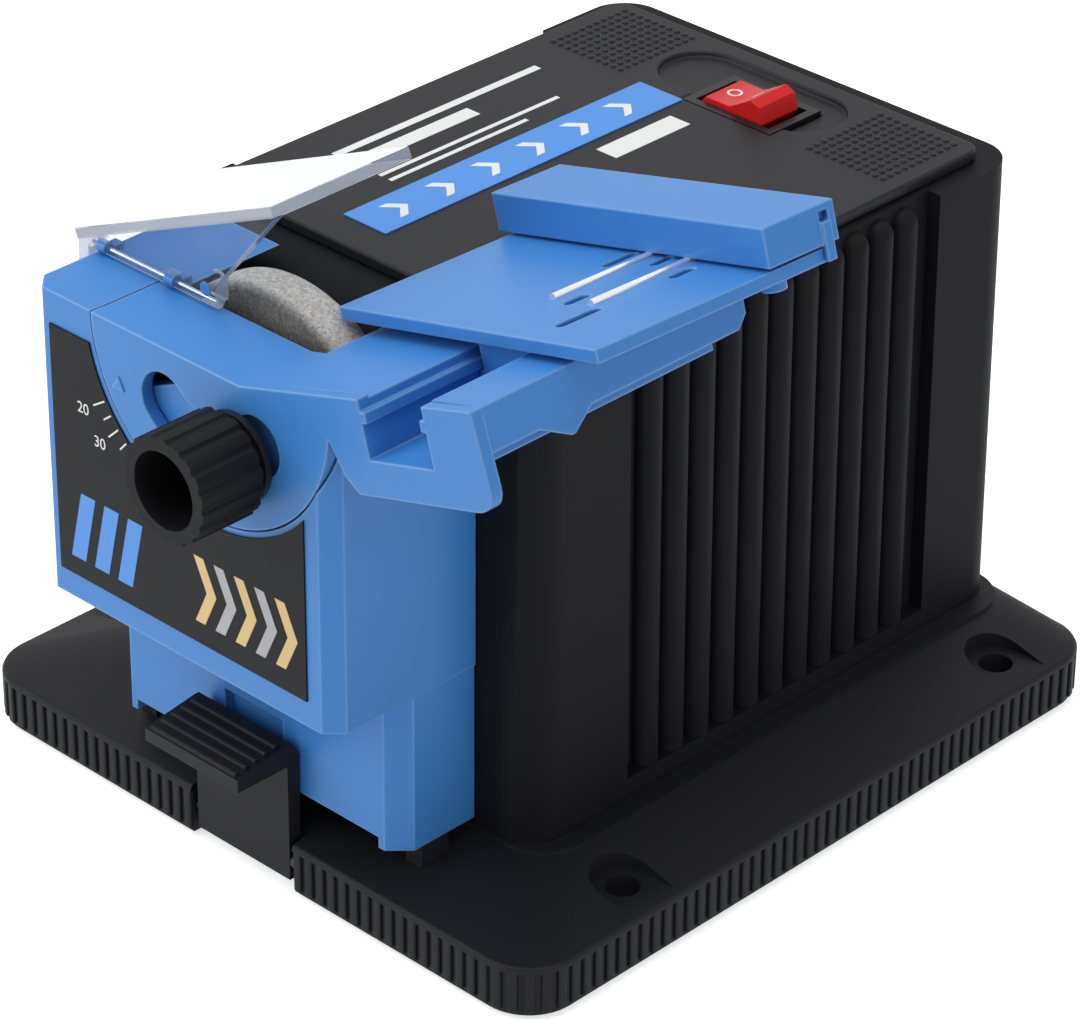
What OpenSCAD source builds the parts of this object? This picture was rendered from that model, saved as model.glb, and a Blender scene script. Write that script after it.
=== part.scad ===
// Electric bench sharpener: motor housing on a flared base, grinding wheel in front,
// lift-off sharpening attachment with a tilting rest, sliding carriage, fence and guard.
// Millimetres. +X is to the right, +Y to the back, +Z up. The feet stand on z = 0.

/* [Base] */
// Width of the base across the front
base_w = 131; // [128:1:140]
// Depth of the base from front to back
base_d = 140.4; // [138:0.2:150]
// Radius of the base corners seen from above
base_corner = 9; // [6:0.5:12]
// Height of the upright rim around the base
rim_h = 9.3; // [8.5:0.1:10]
// Height of the flat plinth under the housing, above the rim bottom
plinth_h = 13.9; // [13.2:0.1:15]
// Wall thickness of the moulded base
base_wall = 3; // [2.5:0.1:3.5]
// Distance between the mounting holes from left to right
mount_pitch_x = 116.3; // [114:0.1:118]
// Distance between the mounting holes from front to back
mount_pitch_y = 93.5; // [88:0.5:96]
// Diameter of the mounting holes
mount_hole_d = 6; // [5:0.1:6.5]
// Diameter of the rubber feet
feet_d = 12; // [10:0.5:14]
// Height of the rubber feet below the rim
feet_proud = 1; // [0.5:0.1:2]

/* [Housing] */
// Width of the motor housing
housing_w = 91.6; // [88:0.2:92]
// Radius of the upright housing corners
housing_corner = 7.3; // [6:0.1:8]
// Wall thickness of the housing sides
housing_wall = 4; // [3.6:0.1:4.4]
// Spacing of the upright ribs on the housing sides
rib_pitch = 6.1; // [5.8:0.1:6.2]
// Number of ribs on each side
rib_count = 11; // [7:1:11]
// Height of the raised top cover above the housing shoulder
cover_h = 2.2; // [2:0.1:3]
// How far the top cover is set in from the housing sides
cover_inset = 4.4; // [3.5:0.1:5]

/* [Switch] */
// Length of the red rocker from left to right
rocker_len = 14; // [13:0.2:16]
// Width of the red rocker from front to back
rocker_w = 9; // [8:0.1:10]
// Tilt of the rocker at rest, off end pressed
rocker_tilt = 15; // [12:0.5:16]

/* [Motor and wheel] */
// Height of the wheel axis above the rim bottom
wheel_axis_h = 77.5; // [76:0.5:82]
// Diameter of the grinding wheel
wheel_d = 51; // [50:0.5:52]
// Thickness of the grinding wheel
wheel_t = 8; // [7:0.1:8.5]
// Outer diameter of the motor can
motor_d = 36; // [34:0.5:38]
// Length of the motor can
motor_len = 58; // [54:1:62]
// Diameter of the motor shaft
shaft_d = 6; // [5:0.1:6.5]

/* [Attachment] */
// Width of the attachment body
attach_w = 67.6; // [66:0.2:68]
// How far the attachment reaches in front of its own foot
attach_overhang = 14; // [13.6:0.1:15]
// Height of the foot from its lower edge to the overhanging front
foot_h = 29.1; // [26:0.1:31]
// Wall thickness of the attachment
attach_wall = 2.2; // [1.8:0.1:2.4]
// Radius of the round joint between body and tilting rest
arc_r = 26.9; // [26.4:0.1:27]
// Angle of the tilting rest at rest
rest_tilt = 16; // [14:1:18]
// Length of the rail from front to back
rail_len = 57.4; // [56:0.2:60]
// Width of the channel the carriage slides in
channel_w = 14; // [13:0.2:14.6]

/* [Carriage and fence] */
// Length of the table along the slope
table_w = 61.2; // [58:0.2:63]
// Depth of the table from front to back
table_d = 46.5; // [45:0.5:48]
// Thickness of the table
table_t = 2.2; // [1.8:0.1:2.4]
// Angle between the table and the rail, seen from above
table_skew = 4.5; // [0:0.5:5]
// Depth of the fence from front to back
fence_d = 14.5; // [13:0.1:16]
// Height of the fence above the table
fence_h = 7; // [6:0.1:9]
// Diameter of the guide rods
rod_d = 1.5; // [1.2:0.1:1.6]

/* [Clamp knob] */
// Diameter of the knob over its flutes
knob_d = 18; // [16:0.2:19]
// Length of the knob
knob_len = 13.9; // [12:0.1:16]
// Number of flutes around the knob
flute_count = 18; // [12:1:24]
// Diameter of the clamp bolt
bolt_d = 6; // [5:0.1:6.4]

/* [Guard] */
// Depth of the clear guard from front to back
guard_d = 29.2; // [27:0.2:29.4]
// Slope of the guard sheet
guard_slope = 23.7; // [22:0.1:25]
// Length of the guard sheet along its slope
guard_len = 50.3; // [48:0.1:51]
// Thickness of the guard sheet
guard_t = 2; // [1.6:0.1:2.1]

/* [Latch] */
// Width of the latch lever
latch_w = 22; // [18:0.2:23]
// Height of the latch lever
latch_h = 26; // [24:0.2:27]
// Thickness of the latch lever
latch_t = 2.6; // [2.2:0.1:2.7]
// How far the thumb pad reaches forward
pad_reach = 10.8; // [9:0.1:11]

/* [Hidden] */
$fn = 64;
eps = 0.01;
// Gap between parts that slide on each other
slide_gap = 0.3;
// Radial gap of running pins and shafts
run_gap = 0.05;
// Gap of a part that only rests on another
rest_gap = 0.1;
// Length by which a cut runs past the part it cuts
over = 1;

black = [0.15, 0.15, 0.16];
dark = [0.22, 0.22, 0.24];
rubber = [0.1, 0.1, 0.1];
blue = [0.25, 0.5, 0.8];
red = [0.8, 0.15, 0.15];
steel = [0.7, 0.71, 0.73];
copper = [0.72, 0.42, 0.22];
brass = [0.8, 0.67, 0.35];
cream = [0.85, 0.83, 0.75];

// Base
base_mid = -5.15;
base_front = base_mid - base_d / 2;
base_back = base_mid + base_d / 2;
front_ledge = 20.2;
back_ledge = 3.7;
housing_front = base_front + front_ledge;
housing_back = base_back - back_ledge;
housing_mid = (housing_front + housing_back) / 2;
housing_side = housing_w / 2;
plinth_ledge = 4;
plinth_lead = 0.6;
plinth_step = 0.8;
plinth_w = housing_w + 2 * plinth_ledge;
plinth_front = housing_front - plinth_lead;
plinth_back = housing_back + plinth_lead;
plinth_d = plinth_back - plinth_front;
plinth_mid = (plinth_front + plinth_back) / 2;
plinth_corner = housing_corner + 1.5;
floor_drop = 0.3;
base_floor = rim_h - base_wall - floor_drop;
mount_head_d = 11;
mount_floor = rim_h + 0.2;
feet_inset_x = 18;
feet_inset_y = 17;
feet_x = base_w / 2 - feet_inset_x;
feet_y = base_d / 2 - feet_inset_y;
feet_depth = 2;
boss_wall = 2;
rest_pad_d = 6;
rest_pad_back = 5;
rest_pad_in = 1.4;

// Case screws
case_screw_d = 3.2;
case_screw_len = 22;
case_head_d = 6;
case_head_h = 2.2;
case_boss_d = 8;
case_boss_lap = 0.6;
case_screw_x = housing_side - housing_wall - case_boss_d / 2 + case_boss_lap;
case_screw_in = 8;
case_screw_front = housing_front + case_screw_in;
case_screw_back = housing_back - case_screw_in;

// Housing and cover
motor_clear = 1.4;
shoulder_h = wheel_axis_h + motor_d / 2 + motor_clear;
cover_top = shoulder_h + cover_h;
front_round = 12.2;
front_round_y = housing_front + front_round;
front_wall = housing_wall - 0.6;
roof_t = 2.6;
inner_corner = 2;
cover_end_gap = 5.2;
cover_back = housing_back - cover_end_gap;
cover_d = cover_back - front_round_y;
cover_mid = (cover_back + front_round_y) / 2;
cover_w = housing_w - 2 * cover_inset;
cover_corner = 3;
lid_lap = 3.4;
lid_hole_w = cover_w - 2 * lid_lap;
lid_hole_d = cover_d - 2 * lid_lap;
skirt_h = 1;
skirt_t = 1.6;
strip_x = -15.6;
strip_w = 9.8;
strip_t = 0.2;
strip_from_front = 7;
strip_from_back = 22.3;
rib_shift = 0.85;
rib_mid = housing_mid + rib_shift;
rib_r = rib_pitch * 0.45;
rib_slack = 0.1;
rib_margin = 6.3;
rib_band = rib_pitch * (rib_count - 1) + 2 * rib_margin;
rib_floor = housing_side - rib_r;
rib_foot = 3.7;
rib_top_gap = 1;
rib_len = shoulder_h - plinth_h - rib_foot - rib_top_gap - 2 * rib_r;
grommet_r = 5;
grommet_lip = 1.5;
grommet_lip_t = 2.4;
grommet_h = plinth_h + 14;
cord_r = 3.4;

// Motor
shaft_r = shaft_d / 2;
motor_r = motor_d / 2;
motor_front = front_round_y + lid_lap + 0.6;
motor_back = motor_front + motor_len;
can_wall = 1.2;
can_inner_r = motor_r - can_wall;
can_front_t = 1.5;
nose_r = 6.5;
nose_len = motor_front - housing_front + 0.2;
end_cap_len = 6;
cap_t = 2;
cap_ring = 6;
cap_wall = 2.2;
bearing_r = 5;
bearing_len = 4;
bearing_step = 1;
magnet_t = 2.6;
air_gap = 0.6;
armature_r = can_inner_r - magnet_t - air_gap;
fan_room = 12;
brush_room = 18;
armature_front = motor_front + fan_room;
armature_back = motor_back - brush_room;
armature_len = armature_back - armature_front;
slot_count = 7;
slot_w = 2.4;
slot_deep = 2;
winding_len = 5;
winding_in = 1.6;
winding_gap = 1.2;
comm_r = 5.5;
comm_len = 7.5;
comm_back = motor_back - cap_t - 0.5;
comm_front = comm_back - comm_len;
brush_len = 8;
brush_w = 4;
brush_h = 3.6;
fan_front = motor_front + can_front_t + 0.9;
fan_len = 4;
fan_hub = 2.5;
blade_count = 6;
blade_t = 1.2;
blade_gap = 1.5;
strap_t = 1;
strap_w = 5;
strap_screw_d = 2.5;
strap_head_d = 5;
strap_head_h = 1.8;
strap_screw_len = 8;
strap_ear = 7;
strap_screw_x = motor_r + 4;
saddle_w = 7;
saddle_in = 12;
saddle_front = motor_front + saddle_in;
saddle_back = motor_back - saddle_in;
saddle_half = motor_r + strap_ear;
saddle_top = wheel_axis_h - 7;
cradle_t = 3;
cradle_lap = 3;

// Rectifier board behind the motor
board_gap = 7.5;
board_back_gap = 2;
board_y = motor_back + board_gap;
board_d = housing_back - housing_wall - board_back_gap - board_y;
board_w = 50;
board_t = 1.6;
post_h = 4;
post_d = 5;
post_in = 4;
bridge_w = 12;
bridge_d = 6;
bridge_h = 10.4;
bridge_x = -18;
capacitor_d = 14;
capacitor_len = 22;
capacitor_x = 14;

// Wheel
wheel_gap = 4.5;
wheel_back = housing_front - wheel_gap;
wheel_front = wheel_back - wheel_t;
wheel_r = wheel_d / 2;
wheel_edge = 1;
wheel_room = 0.9;
arbor_r = 6;
flange_r = 9;
flange_t = 1.5;
nut_flats = 10;
nut_t = 3.2;
wheel_recess = 4;
recess_r = flange_r + 1;
clamp_y = wheel_front + wheel_recess;
arbor_gap = 0.2;
shaft_front = clamp_y - flange_t - nut_t - 0.3;
shaft_back = motor_back + end_cap_len - 0.5;

// Attachment body
foot_back_set = 3;
foot_front = base_front + foot_back_set;
attach_front = foot_front - attach_overhang;
attach_back = housing_front - slide_gap;
attach_half = attach_w / 2;
foot_inset = 0.3;
foot_half = attach_half - foot_inset;
foot_bottom = plinth_h + 1.3;
attach_bottom = foot_bottom + foot_h;
attach_chamfer = 2.8;
foot_chamfer = 3.4;
foot_chamfer_in = 1.2;
foot_post = 4.7;
foot_notch = 2;
front_t = 2.6;
web_t = 2.6;
web_lap = 1.6;
web_back = attach_front + front_t + web_t;
pivot_x = 7.1;
pivot_h = wheel_axis_h + wheel_r - 3.3;
deck_h = pivot_h - 0.6;
deck_t = 2;
fold_x = pivot_x + 7;
rest_r = arc_r - slide_gap;
strip_left = pivot_x - rest_r + 0.2;
strip_back = wheel_front - 3.4;
body_top = deck_h + 0.1;
body_top_t = 2.1;
body_tail = 5;
horn_x = -14.3;
tilt_range = 24;
tilt_room = 0.6;
label_t = 0.3;
label_left = -29.4;
label_right = 28.1;
label_low = attach_bottom + 4.7;
label_top = pivot_h - 6.2;
label_side_drop = 17.7;
label_side = pivot_h - label_side_drop;
label_slant_x = -16;
label_gap = 0.9;

// Tilting rest
rest_front_t = 2.3;
slot_r = 14.4;
slot_half = 5.2;
slot_start = 225.6;
slot_end = 318;
channel_u = 27;
channel_end = channel_u + channel_w;
channel_floor = -9.2;
channel_t = 2;
rail_back = attach_front + rail_len;
rail_wall_u = channel_end + 10.5;
rail_top = 0.8;
rail_wall_low = -6.5;
rail_toe = 2;
rail_nub_low = rail_wall_low - 3;
rail_nub_set = 12.3;
rail_nub_front = attach_front + rail_nub_set;
rail_nub_len = 11;
rail_nub_back = rail_nub_front + rail_nub_len;
rail_nub_ramp = 6;
rail_nub_heel = 4.2;
flange_low = -15;
flange_side = -11.4;
flange_round = 4;
flange_end = rail_wall_u + 0.8;
flange_toe = 4;
flange_bend = [6.5, 2.8];
flange_heel = [8.4, 8];
lip_reach = 1;
lip_low = -3.4;
lip_high = -1.6;
rail_clear_u = 31.2;
deck_clear_y = housing_front - 0.8;
wheel_side_u = 3.4;

// Clamp bolt and knob
bolt_angle = 296.8;
bolt_x = pivot_x + slot_r * cos(bolt_angle);
bolt_h = pivot_h + slot_r * sin(bolt_angle);
bolt_r = bolt_d / 2;
bolt_head = 10;
bolt_head_t = 3;
bolt_set = 9.6;
washer_t = 1.2;
washer_r = 7.6;
knob_gap = 0.1;
knob_back = attach_front - washer_t - knob_gap;
knob_front = knob_back - knob_len;
knob_r = knob_d / 2;
knob_wall = 2.5;
knob_cup = 9;
collar_h = 1.5;
collar_in = 3;
flute_r = 0.9;
flute_out = 0.45;

// Carriage, rods and fence, in deck coordinates
table_low = rail_top + 1.2;
table_top = table_low + table_t;
table_u = 0.2;
table_end = table_u + table_w;
table_front = wheel_front + 2.5;
table_back = table_front + table_d;
table_mid_u = table_u + table_w / 2;
table_mid_y = (table_front + table_back) / 2;
slider_front = table_front + 3;
slider_back = table_back - 0.5;
stop_r = 2;
stop_h = 2;
stop_u = table_end - 3.6;
stop_y = table_back - 8.5;
rod_r = rod_d / 2;
rod_rise = 0.1;
rod_v = table_top + rod_rise;
rod_front = table_front + 14.4;
rod_u = [34.8, 43.7];
table_slot_r = 1;
// Slots of the table: place across, start and end behind its front edge
table_slots = [[46.4, 6.2, 13], [39.2, 14, 17], [30.8, 29, 34], [38.6, 32, 34.5], [46.8, 28.5, 31.5]];
fence_past = 2.2;
fence_back = table_back + fence_past;
fence_front = fence_back - fence_d;
fence_left = table_u - 1.8;
fence_right = table_end + 0.6;
fence_low = table_top + 0.6;
fence_top = table_top + fence_h;
fence_wall = 2.4;
tongue_t = 0.5;
tongue_d = 1.8;
tongue_in = 1.4;
tongue_back = fence_back - tongue_in;
tongue_front = tongue_back - tongue_d;
tongue_low = table_low + 0.2;
tongue_top = fence_top - 2.8;
notch_in = 1.6;
notch_top = fence_top - 1.2;

// Guard and its hinge
guard_left = -37.6;
guard_front = strip_back - 2;
guard_back = guard_front + guard_d;
sheet_h = body_top + 0.95;
hinge_y = guard_front + guard_t / 2;
hinge_h = body_top + 1.3;
hinge_lap = 0.1;
guard_pin_r = 0.3;
lug_r = 1.1;
lug_w = 2;
lug_x = [-33.4, -17.4];
lug_arm = 3.2;
lug_arm_gap = 0.2;
guard_gap = 0.35;
pin_left = -35;
pin_right = -5.8;
side_ear_w = 2.4;
side_ear_d = 3.5;
side_ear_low = body_top - 2.8;
ear_x = -7.55;
ear_r = 2.15;
ear_h = hinge_h + 2.3;
ear_proud = 0.8;
brow_x = 1.3;

// Latch
latch_front = base_front;
latch_back = latch_front + latch_t;
latch_low = 1.6;
latch_top = latch_low + latch_h;
latch_round = 1.6;
latch_slope = 3;
latch_pivot_y = latch_front + latch_t / 2;
latch_pivot_h = 5;
latch_pin_r = 0.8;
latch_gap = 1.2;
latch_slot = latch_w + 2 * latch_gap;
pin_seat = 1.5;
pad_t = 3;
pad_drop = 1.5;
pad_tip = 0.6;
pad_ribs = 5;
pad_rib_r = 0.6;
pad_side = 1;
nib_half = 5.5;
nib_low = latch_top - 11;
nib_top = latch_top - 3;
nib_reach = 1;
groove_half = 6.9;
groove_deep = 1.4;
groove_top = latch_top + 1.75;
spring_wire = 0.5;

// Switch
switch_x = 3.4;
switch_set = 15.1;
switch_y = cover_back - switch_set;
recess_len = 38;
recess_w = 15;
recess_deep = 1;
recess_y = cover_back - 11.2;
rocker_gap = 0.4;
rocker_drop = 3;
rocker_pivot_h = cover_top - rocker_drop;
rocker_pin_r = 1;
rocker_pin_out = 1.1;
ridge_in = 1.8;
ridge_h = 5.3;
valley_h = 3.9;
end_h = 4;
end_low = 1;
heel_half = 2.5;
heel_low = -3;
rocker_reach = rocker_len / 2 * cos(rocker_tilt) + end_h * sin(rocker_tilt) + rocker_gap;
switch_wall = 1.6;
switch_len = 2 * rocker_reach + 2 * switch_wall;
switch_depth = rocker_w + 2 * rocker_gap + 2 * switch_wall;
switch_deep = 9;
switch_floor = 2;
switch_top = cover_top - rest_gap;
switch_lip = 1.2;
switch_lip_t = 1;
terminal_x = 4;
terminal_t = 0.8;
terminal_w = 4.8;
terminal_len = 5;

// Lifts a part from the rim bottom onto the feet
module raised() {
    translate([0, 0, feet_proud])
        children();
}

// Turns a part that is drawn along +Z so that it runs along +Y from y
module along_y(x, y, h) {
    translate([x, y, h])
        rotate([-90, 0, 0])
            children();
}

// Turns a part that is drawn along +Z so that it runs along +X from x
module along_x(x, y, h) {
    translate([x, y, h])
        rotate([0, 90, 0])
            children();
}

// Puts a part that is drawn in deck coordinates onto the tilted deck
module on_deck() {
    translate([fold_x, 0, deck_h])
        rotate([0, -rest_tilt, 0])
            children();
}

// Turns a part that is drawn square to the rail to the angle of the table
module on_table() {
    on_deck()
        translate([table_mid_u, table_mid_y, 0])
            rotate([0, 0, -table_skew])
                translate([-table_mid_u, -table_mid_y, 0])
                    children();
}

// Stands a front view outline (x to the right, y up) up and gives it a depth towards the back
module front_view(y, depth) {
    translate([0, y + depth, 0])
        rotate([90, 0, 0])
            linear_extrude(depth)
                children();
}

module rounded_rect(w, d, r) {
    square([w - 2 * r, d], center = true);
    square([w, d - 2 * r], center = true);
    for (sx = [-1, 1])
        for (sy = [-1, 1])
            translate([sx * (w / 2 - r), sy * (d / 2 - r)])
                circle(r);
}

// Box from one corner to the opposite corner
module block(low, high) {
    translate(low)
        cube(high - low);
}

// Round bar or hole from one height to another
module post(r, low, high) {
    translate([0, 0, low])
        cylinder(r = r, h = high - low);
}

// Upright slot with round ends from a to b
module slot_cut(a, b, r, low, high) {
    length = norm(b - a);
    translate([a[0], a[1], 0])
        rotate([0, 0, atan2(b[1] - a[1], b[0] - a[0])]) {
            post(r, low, high);
            translate([length, 0, 0])
                post(r, low, high);
            block([0, -r, low], [length, r, high]);
        }
}

module at_mount_holes() {
    for (sx = [-1, 1])
        for (sy = [-1, 1])
            translate([sx * mount_pitch_x / 2, sy * mount_pitch_y / 2, 0])
                rotate([0, 0, sx > 0 ? 0 : 180])
                    children();
}

module at_feet() {
    for (sx = [-1, 1])
        for (sy = [-1, 1])
            translate([sx * feet_x, base_mid + sy * feet_y, 0])
                children();
}

module at_case_screws() {
    for (sx = [-1, 1])
        for (y = [case_screw_front, case_screw_back])
            translate([sx * case_screw_x, y, 0])
                children();
}

module at_saddle_screws() {
    for (y = [saddle_front, saddle_back])
        translate([0, y, 0])
            children();
}

module at_strap_screws() {
    for (y = [saddle_front, saddle_back])
        for (sx = [-1, 1])
            translate([sx * strap_screw_x, y, 0])
                children();
}

module base_outer() {
    flare_top = plinth_h - plinth_step;
    translate([0, base_mid, 0])
        linear_extrude(rim_h)
            rounded_rect(base_w, base_d, base_corner);
    hull() {
        translate([0, base_mid, rim_h - eps])
            linear_extrude(eps)
                rounded_rect(base_w, base_d, base_corner);
        translate([0, plinth_mid, flare_top - eps])
            linear_extrude(eps)
                rounded_rect(plinth_w, plinth_d, plinth_corner);
    }
    translate([0, plinth_mid, flare_top - eps])
        linear_extrude(plinth_step + eps)
            rounded_rect(plinth_w, plinth_d, plinth_corner);
}

// Pads under the side walls of the attachment foot
module rest_pads() {
    pad_y = foot_front + rest_pad_back;
    for (sx = [-1, 1])
        translate([sx * (foot_half - attach_wall / 2 - rest_pad_in / 2), pad_y, rim_h - base_wall])
            translate([-(attach_wall + rest_pad_in) / 2, 0, 0])
                cube([attach_wall + rest_pad_in, rest_pad_d, foot_bottom - rest_gap - rim_h + base_wall]);
}

// The latch pin line, with a half length and an added radius
module latch_pin_line(half, gap) {
    along_x(-half, latch_pivot_y, latch_pivot_h)
        cylinder(r = latch_pin_r + gap, h = 2 * half);
}

module base_plate() color(black) raised() {
    latch_wall = latch_slot / 2 + base_wall;
    latch_room = foot_front + over;
    inner_w = base_w - 2 * base_wall;
    inner_d = base_d - 2 * base_wall;
    difference() {
        union() {
            difference() {
                base_outer();
                translate([0, base_mid, -over])
                    linear_extrude(base_floor + over)
                        rounded_rect(inner_w, inner_d, base_corner - base_wall);
            }
            at_mount_holes()
                post(mount_hole_d / 2 + boss_wall, 0, mount_floor);
            at_feet()
                post(feet_d / 2 + boss_wall, 0, base_floor + eps);
            block([-latch_wall, base_front + over, 0], [latch_wall, latch_room + base_wall, rim_h]);
            rest_pads();
        }
        at_mount_holes() {
            post(mount_hole_d / 2, -over, plinth_h);
            post(mount_head_d / 2, mount_floor, 2 * plinth_h);
            block([0, -mount_head_d / 2, mount_floor], [base_w, mount_head_d / 2, 2 * plinth_h]);
        }
        at_feet()
            post(feet_d / 2 + run_gap, -over, feet_depth);
        at_case_screws()
            screw_hole();
        at_saddle_screws()
            screw_hole();
        block([-latch_slot / 2, base_front - over, -over], [latch_slot / 2, latch_room, plinth_h]);
        latch_pin_line(latch_wall - over, run_gap);
    }
}

// Hole and head room for a case screw in the base
module screw_hole() {
    post(case_screw_d / 2 + run_gap, 0, plinth_h + over);
    post(case_head_d / 2 + rest_gap, -over, base_floor);
}

module rubber_feet() color(rubber) raised()
    at_feet()
        post(feet_d / 2, -feet_proud, feet_depth);

module case_screw() {
    post(case_head_d / 2, base_floor - case_head_h, base_floor);
    post(case_screw_d / 2, base_floor - eps, base_floor + case_screw_len);
}

module case_screws() color(steel) raised() {
    at_case_screws()
        case_screw();
    at_saddle_screws()
        case_screw();
}

// Housing block with its rounded front top edge, made smaller by the insets
module housing_block(inset_x, inset_y, low, top) {
    front = housing_front + inset_y;
    back = housing_back - inset_y;
    r = front_round - inset_y;
    intersection() {
        translate([0, housing_mid, low])
            linear_extrude(top - low)
                rounded_rect(housing_w - 2 * inset_x, back - front,
                    max(housing_corner - inset_y, inner_corner));
        union() {
            block([-housing_w, front + r, 0], [housing_w, back + over, top]);
            block([-housing_w, front - over, 0], [housing_w, back, top - r]);
            along_x(-housing_w, front + r, top - r)
                cylinder(r = r, h = 2 * housing_w);
        }
    }
}

// Sunk field of upright ribs on one side of the housing
module rib_field(sx) {
    rib_low = plinth_h + rib_foot;
    difference() {
        block([sx > 0 ? rib_floor : -rib_floor - 2 * rib_r, rib_mid - rib_band / 2, rib_low],
            [sx > 0 ? rib_floor + 2 * rib_r : -rib_floor, rib_mid + rib_band / 2, shoulder_h + over]);
        for (i = [0 : rib_count - 1])
            translate([sx * rib_floor, rib_mid + (i - (rib_count - 1) / 2) * rib_pitch, rib_low + rib_r]) {
                cylinder(r = rib_r - rib_slack, h = rib_len, $fn = 24);
                translate([0, 0, -rib_r])
                    cylinder(r = rib_r - rib_slack, h = rib_r + eps, $fn = 24);
                translate([0, 0, rib_len])
                    sphere(r = rib_r - rib_slack, $fn = 24);
            }
    }
}

module housing_shell() color(black) raised()
    difference() {
        union() {
            difference() {
                housing_block(0, 0, plinth_h, shoulder_h);
                housing_block(housing_wall, front_wall, plinth_h - over, shoulder_h - roof_t);
            }
            at_case_screws()
                post(case_boss_d / 2, plinth_h, plinth_h + case_screw_len);
        }
        for (sx = [-1, 1])
            rib_field(sx);
        at_case_screws()
            post(case_screw_d / 2 + run_gap, plinth_h - over, base_floor + case_screw_len + over);
        block([-lid_hole_w / 2, cover_mid - lid_hole_d / 2, shoulder_h - 2 * roof_t],
            [lid_hole_w / 2, cover_mid + lid_hole_d / 2, shoulder_h + over]);
        along_y(0, housing_front - over, wheel_axis_h)
            cylinder(r = nose_r + run_gap, h = housing_wall + 2 * over);
        along_y(0, housing_back - housing_wall - over, grommet_h)
            cylinder(r = grommet_r + run_gap, h = housing_wall + 2 * over);
    }

module cord_grommet() color(rubber) raised()
    along_y(0, housing_back - housing_wall, grommet_h)
        difference() {
            union() {
                post(grommet_r, 0, housing_wall + eps);
                post(grommet_r + grommet_lip, housing_wall, housing_wall + grommet_lip_t);
            }
            post(cord_r, -over, housing_wall + grommet_lip_t + over);
        }

module top_cover() color(black) raised() {
    recess_x = recess_len / 2 - recess_w / 2;
    outer_w = lid_hole_w - 2 * rest_gap;
    outer_d = lid_hole_d - 2 * rest_gap;
    difference() {
        union() {
            translate([0, cover_mid, shoulder_h])
                linear_extrude(cover_h)
                    rounded_rect(cover_w, cover_d, cover_corner);
            translate([0, cover_mid, shoulder_h - skirt_h])
                linear_extrude(skirt_h + eps)
                    difference() {
                        square([outer_w, outer_d], center = true);
                        square([outer_w - 2 * skirt_t, outer_d - 2 * skirt_t], center = true);
                    }
        }
        slot_cut([-recess_x, recess_y], [recess_x, recess_y], recess_w / 2, cover_top - recess_deep,
            cover_top + over);
        translate([switch_x, switch_y, shoulder_h])
            cube([switch_len + 2 * rest_gap, switch_depth + 2 * rest_gap, 4 * cover_h], center = true);
    }
}

module top_strip() color(blue) raised()
    block([strip_x, front_round_y + strip_from_front, cover_top],
        [strip_x + strip_w, cover_back - strip_from_back, cover_top + strip_t]);

module switch_frame() color(black) raised()
    translate([switch_x, switch_y, 0])
        difference() {
            union() {
                translate([0, 0, switch_top - switch_deep / 2])
                    cube([switch_len, switch_depth, switch_deep], center = true);
                translate([0, 0, shoulder_h - rest_gap - switch_lip_t / 2])
                    cube([switch_len + 2 * switch_lip, switch_depth + 2 * switch_lip, switch_lip_t],
                        center = true);
            }
            translate([0, 0, switch_top])
                cube([2 * rocker_reach, rocker_w + 2 * rocker_gap, 2 * (switch_deep - switch_floor)],
                    center = true);
            along_y(0, -rocker_w / 2 - rocker_pin_out - rocker_gap / 2, rocker_pivot_h)
                cylinder(r = rocker_pin_r + run_gap, h = rocker_w + 2 * rocker_pin_out + rocker_gap);
        }

module rocker() color(red) raised() {
    half = rocker_len / 2;
    ridge = half - ridge_in;
    translate([switch_x, switch_y, rocker_pivot_h])
        rotate([0, -rocker_tilt, 0]) {
            front_view(-rocker_w / 2, rocker_w)
                polygon([[-half, end_low], [-half, end_h], [-ridge, ridge_h], [0, valley_h],
                    [ridge, ridge_h], [half, end_h], [half, end_low], [heel_half, heel_low],
                    [-heel_half, heel_low]]);
            along_y(0, -rocker_w / 2 - rocker_pin_out, 0)
                cylinder(r = rocker_pin_r, h = rocker_w + 2 * rocker_pin_out);
        }
}

module switch_terminals() color(brass) raised()
    for (sx = [-1, 1])
        translate([switch_x + sx * terminal_x, switch_y, switch_top - switch_deep - terminal_len / 2])
            cube([terminal_t, terminal_w, terminal_len], center = true);

module motor_can() color(steel) raised()
    along_y(0, motor_front, wheel_axis_h)
        difference() {
            union() {
                post(motor_r, 0, motor_len);
                post(nose_r, -nose_len, over);
            }
            post(can_inner_r, can_front_t, motor_len + over);
            post(bearing_r + eps, -nose_len - over, can_front_t + over);
        }

module shaft_bearings() color(brass) raised()
    for (y = [motor_front - nose_len, motor_back + bearing_step])
        along_y(0, y, wheel_axis_h)
            difference() {
                post(bearing_r, 0, bearing_len);
                post(shaft_r + run_gap, -over, bearing_len + over);
            }

module motor_end_cap() color(cream) raised()
    along_y(0, motor_back, wheel_axis_h)
        difference() {
            union() {
                post(can_inner_r - run_gap, -cap_ring, 0);
                post(bearing_r + boss_wall, -eps, end_cap_len);
            }
            post(can_inner_r - cap_wall, -cap_ring - over, -cap_t);
            post(bearing_r + eps, -cap_ring, bearing_step + bearing_len);
            post(shaft_r + winding_gap / 2, 0, end_cap_len + over);
        }

module motor_magnets() color(dark) raised()
    for (turn = [0, 180])
        along_y(0, armature_front, wheel_axis_h)
            rotate([0, 0, turn])
                intersection() {
                    difference() {
                        post(can_inner_r - run_gap, 0, armature_len);
                        post(armature_r + air_gap, -over, armature_len + over);
                    }
                    translate([0, -motor_r, 0])
                        rotate([0, 0, 45])
                            cube([motor_d, motor_d, 2 * motor_len], center = true);
                }

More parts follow.
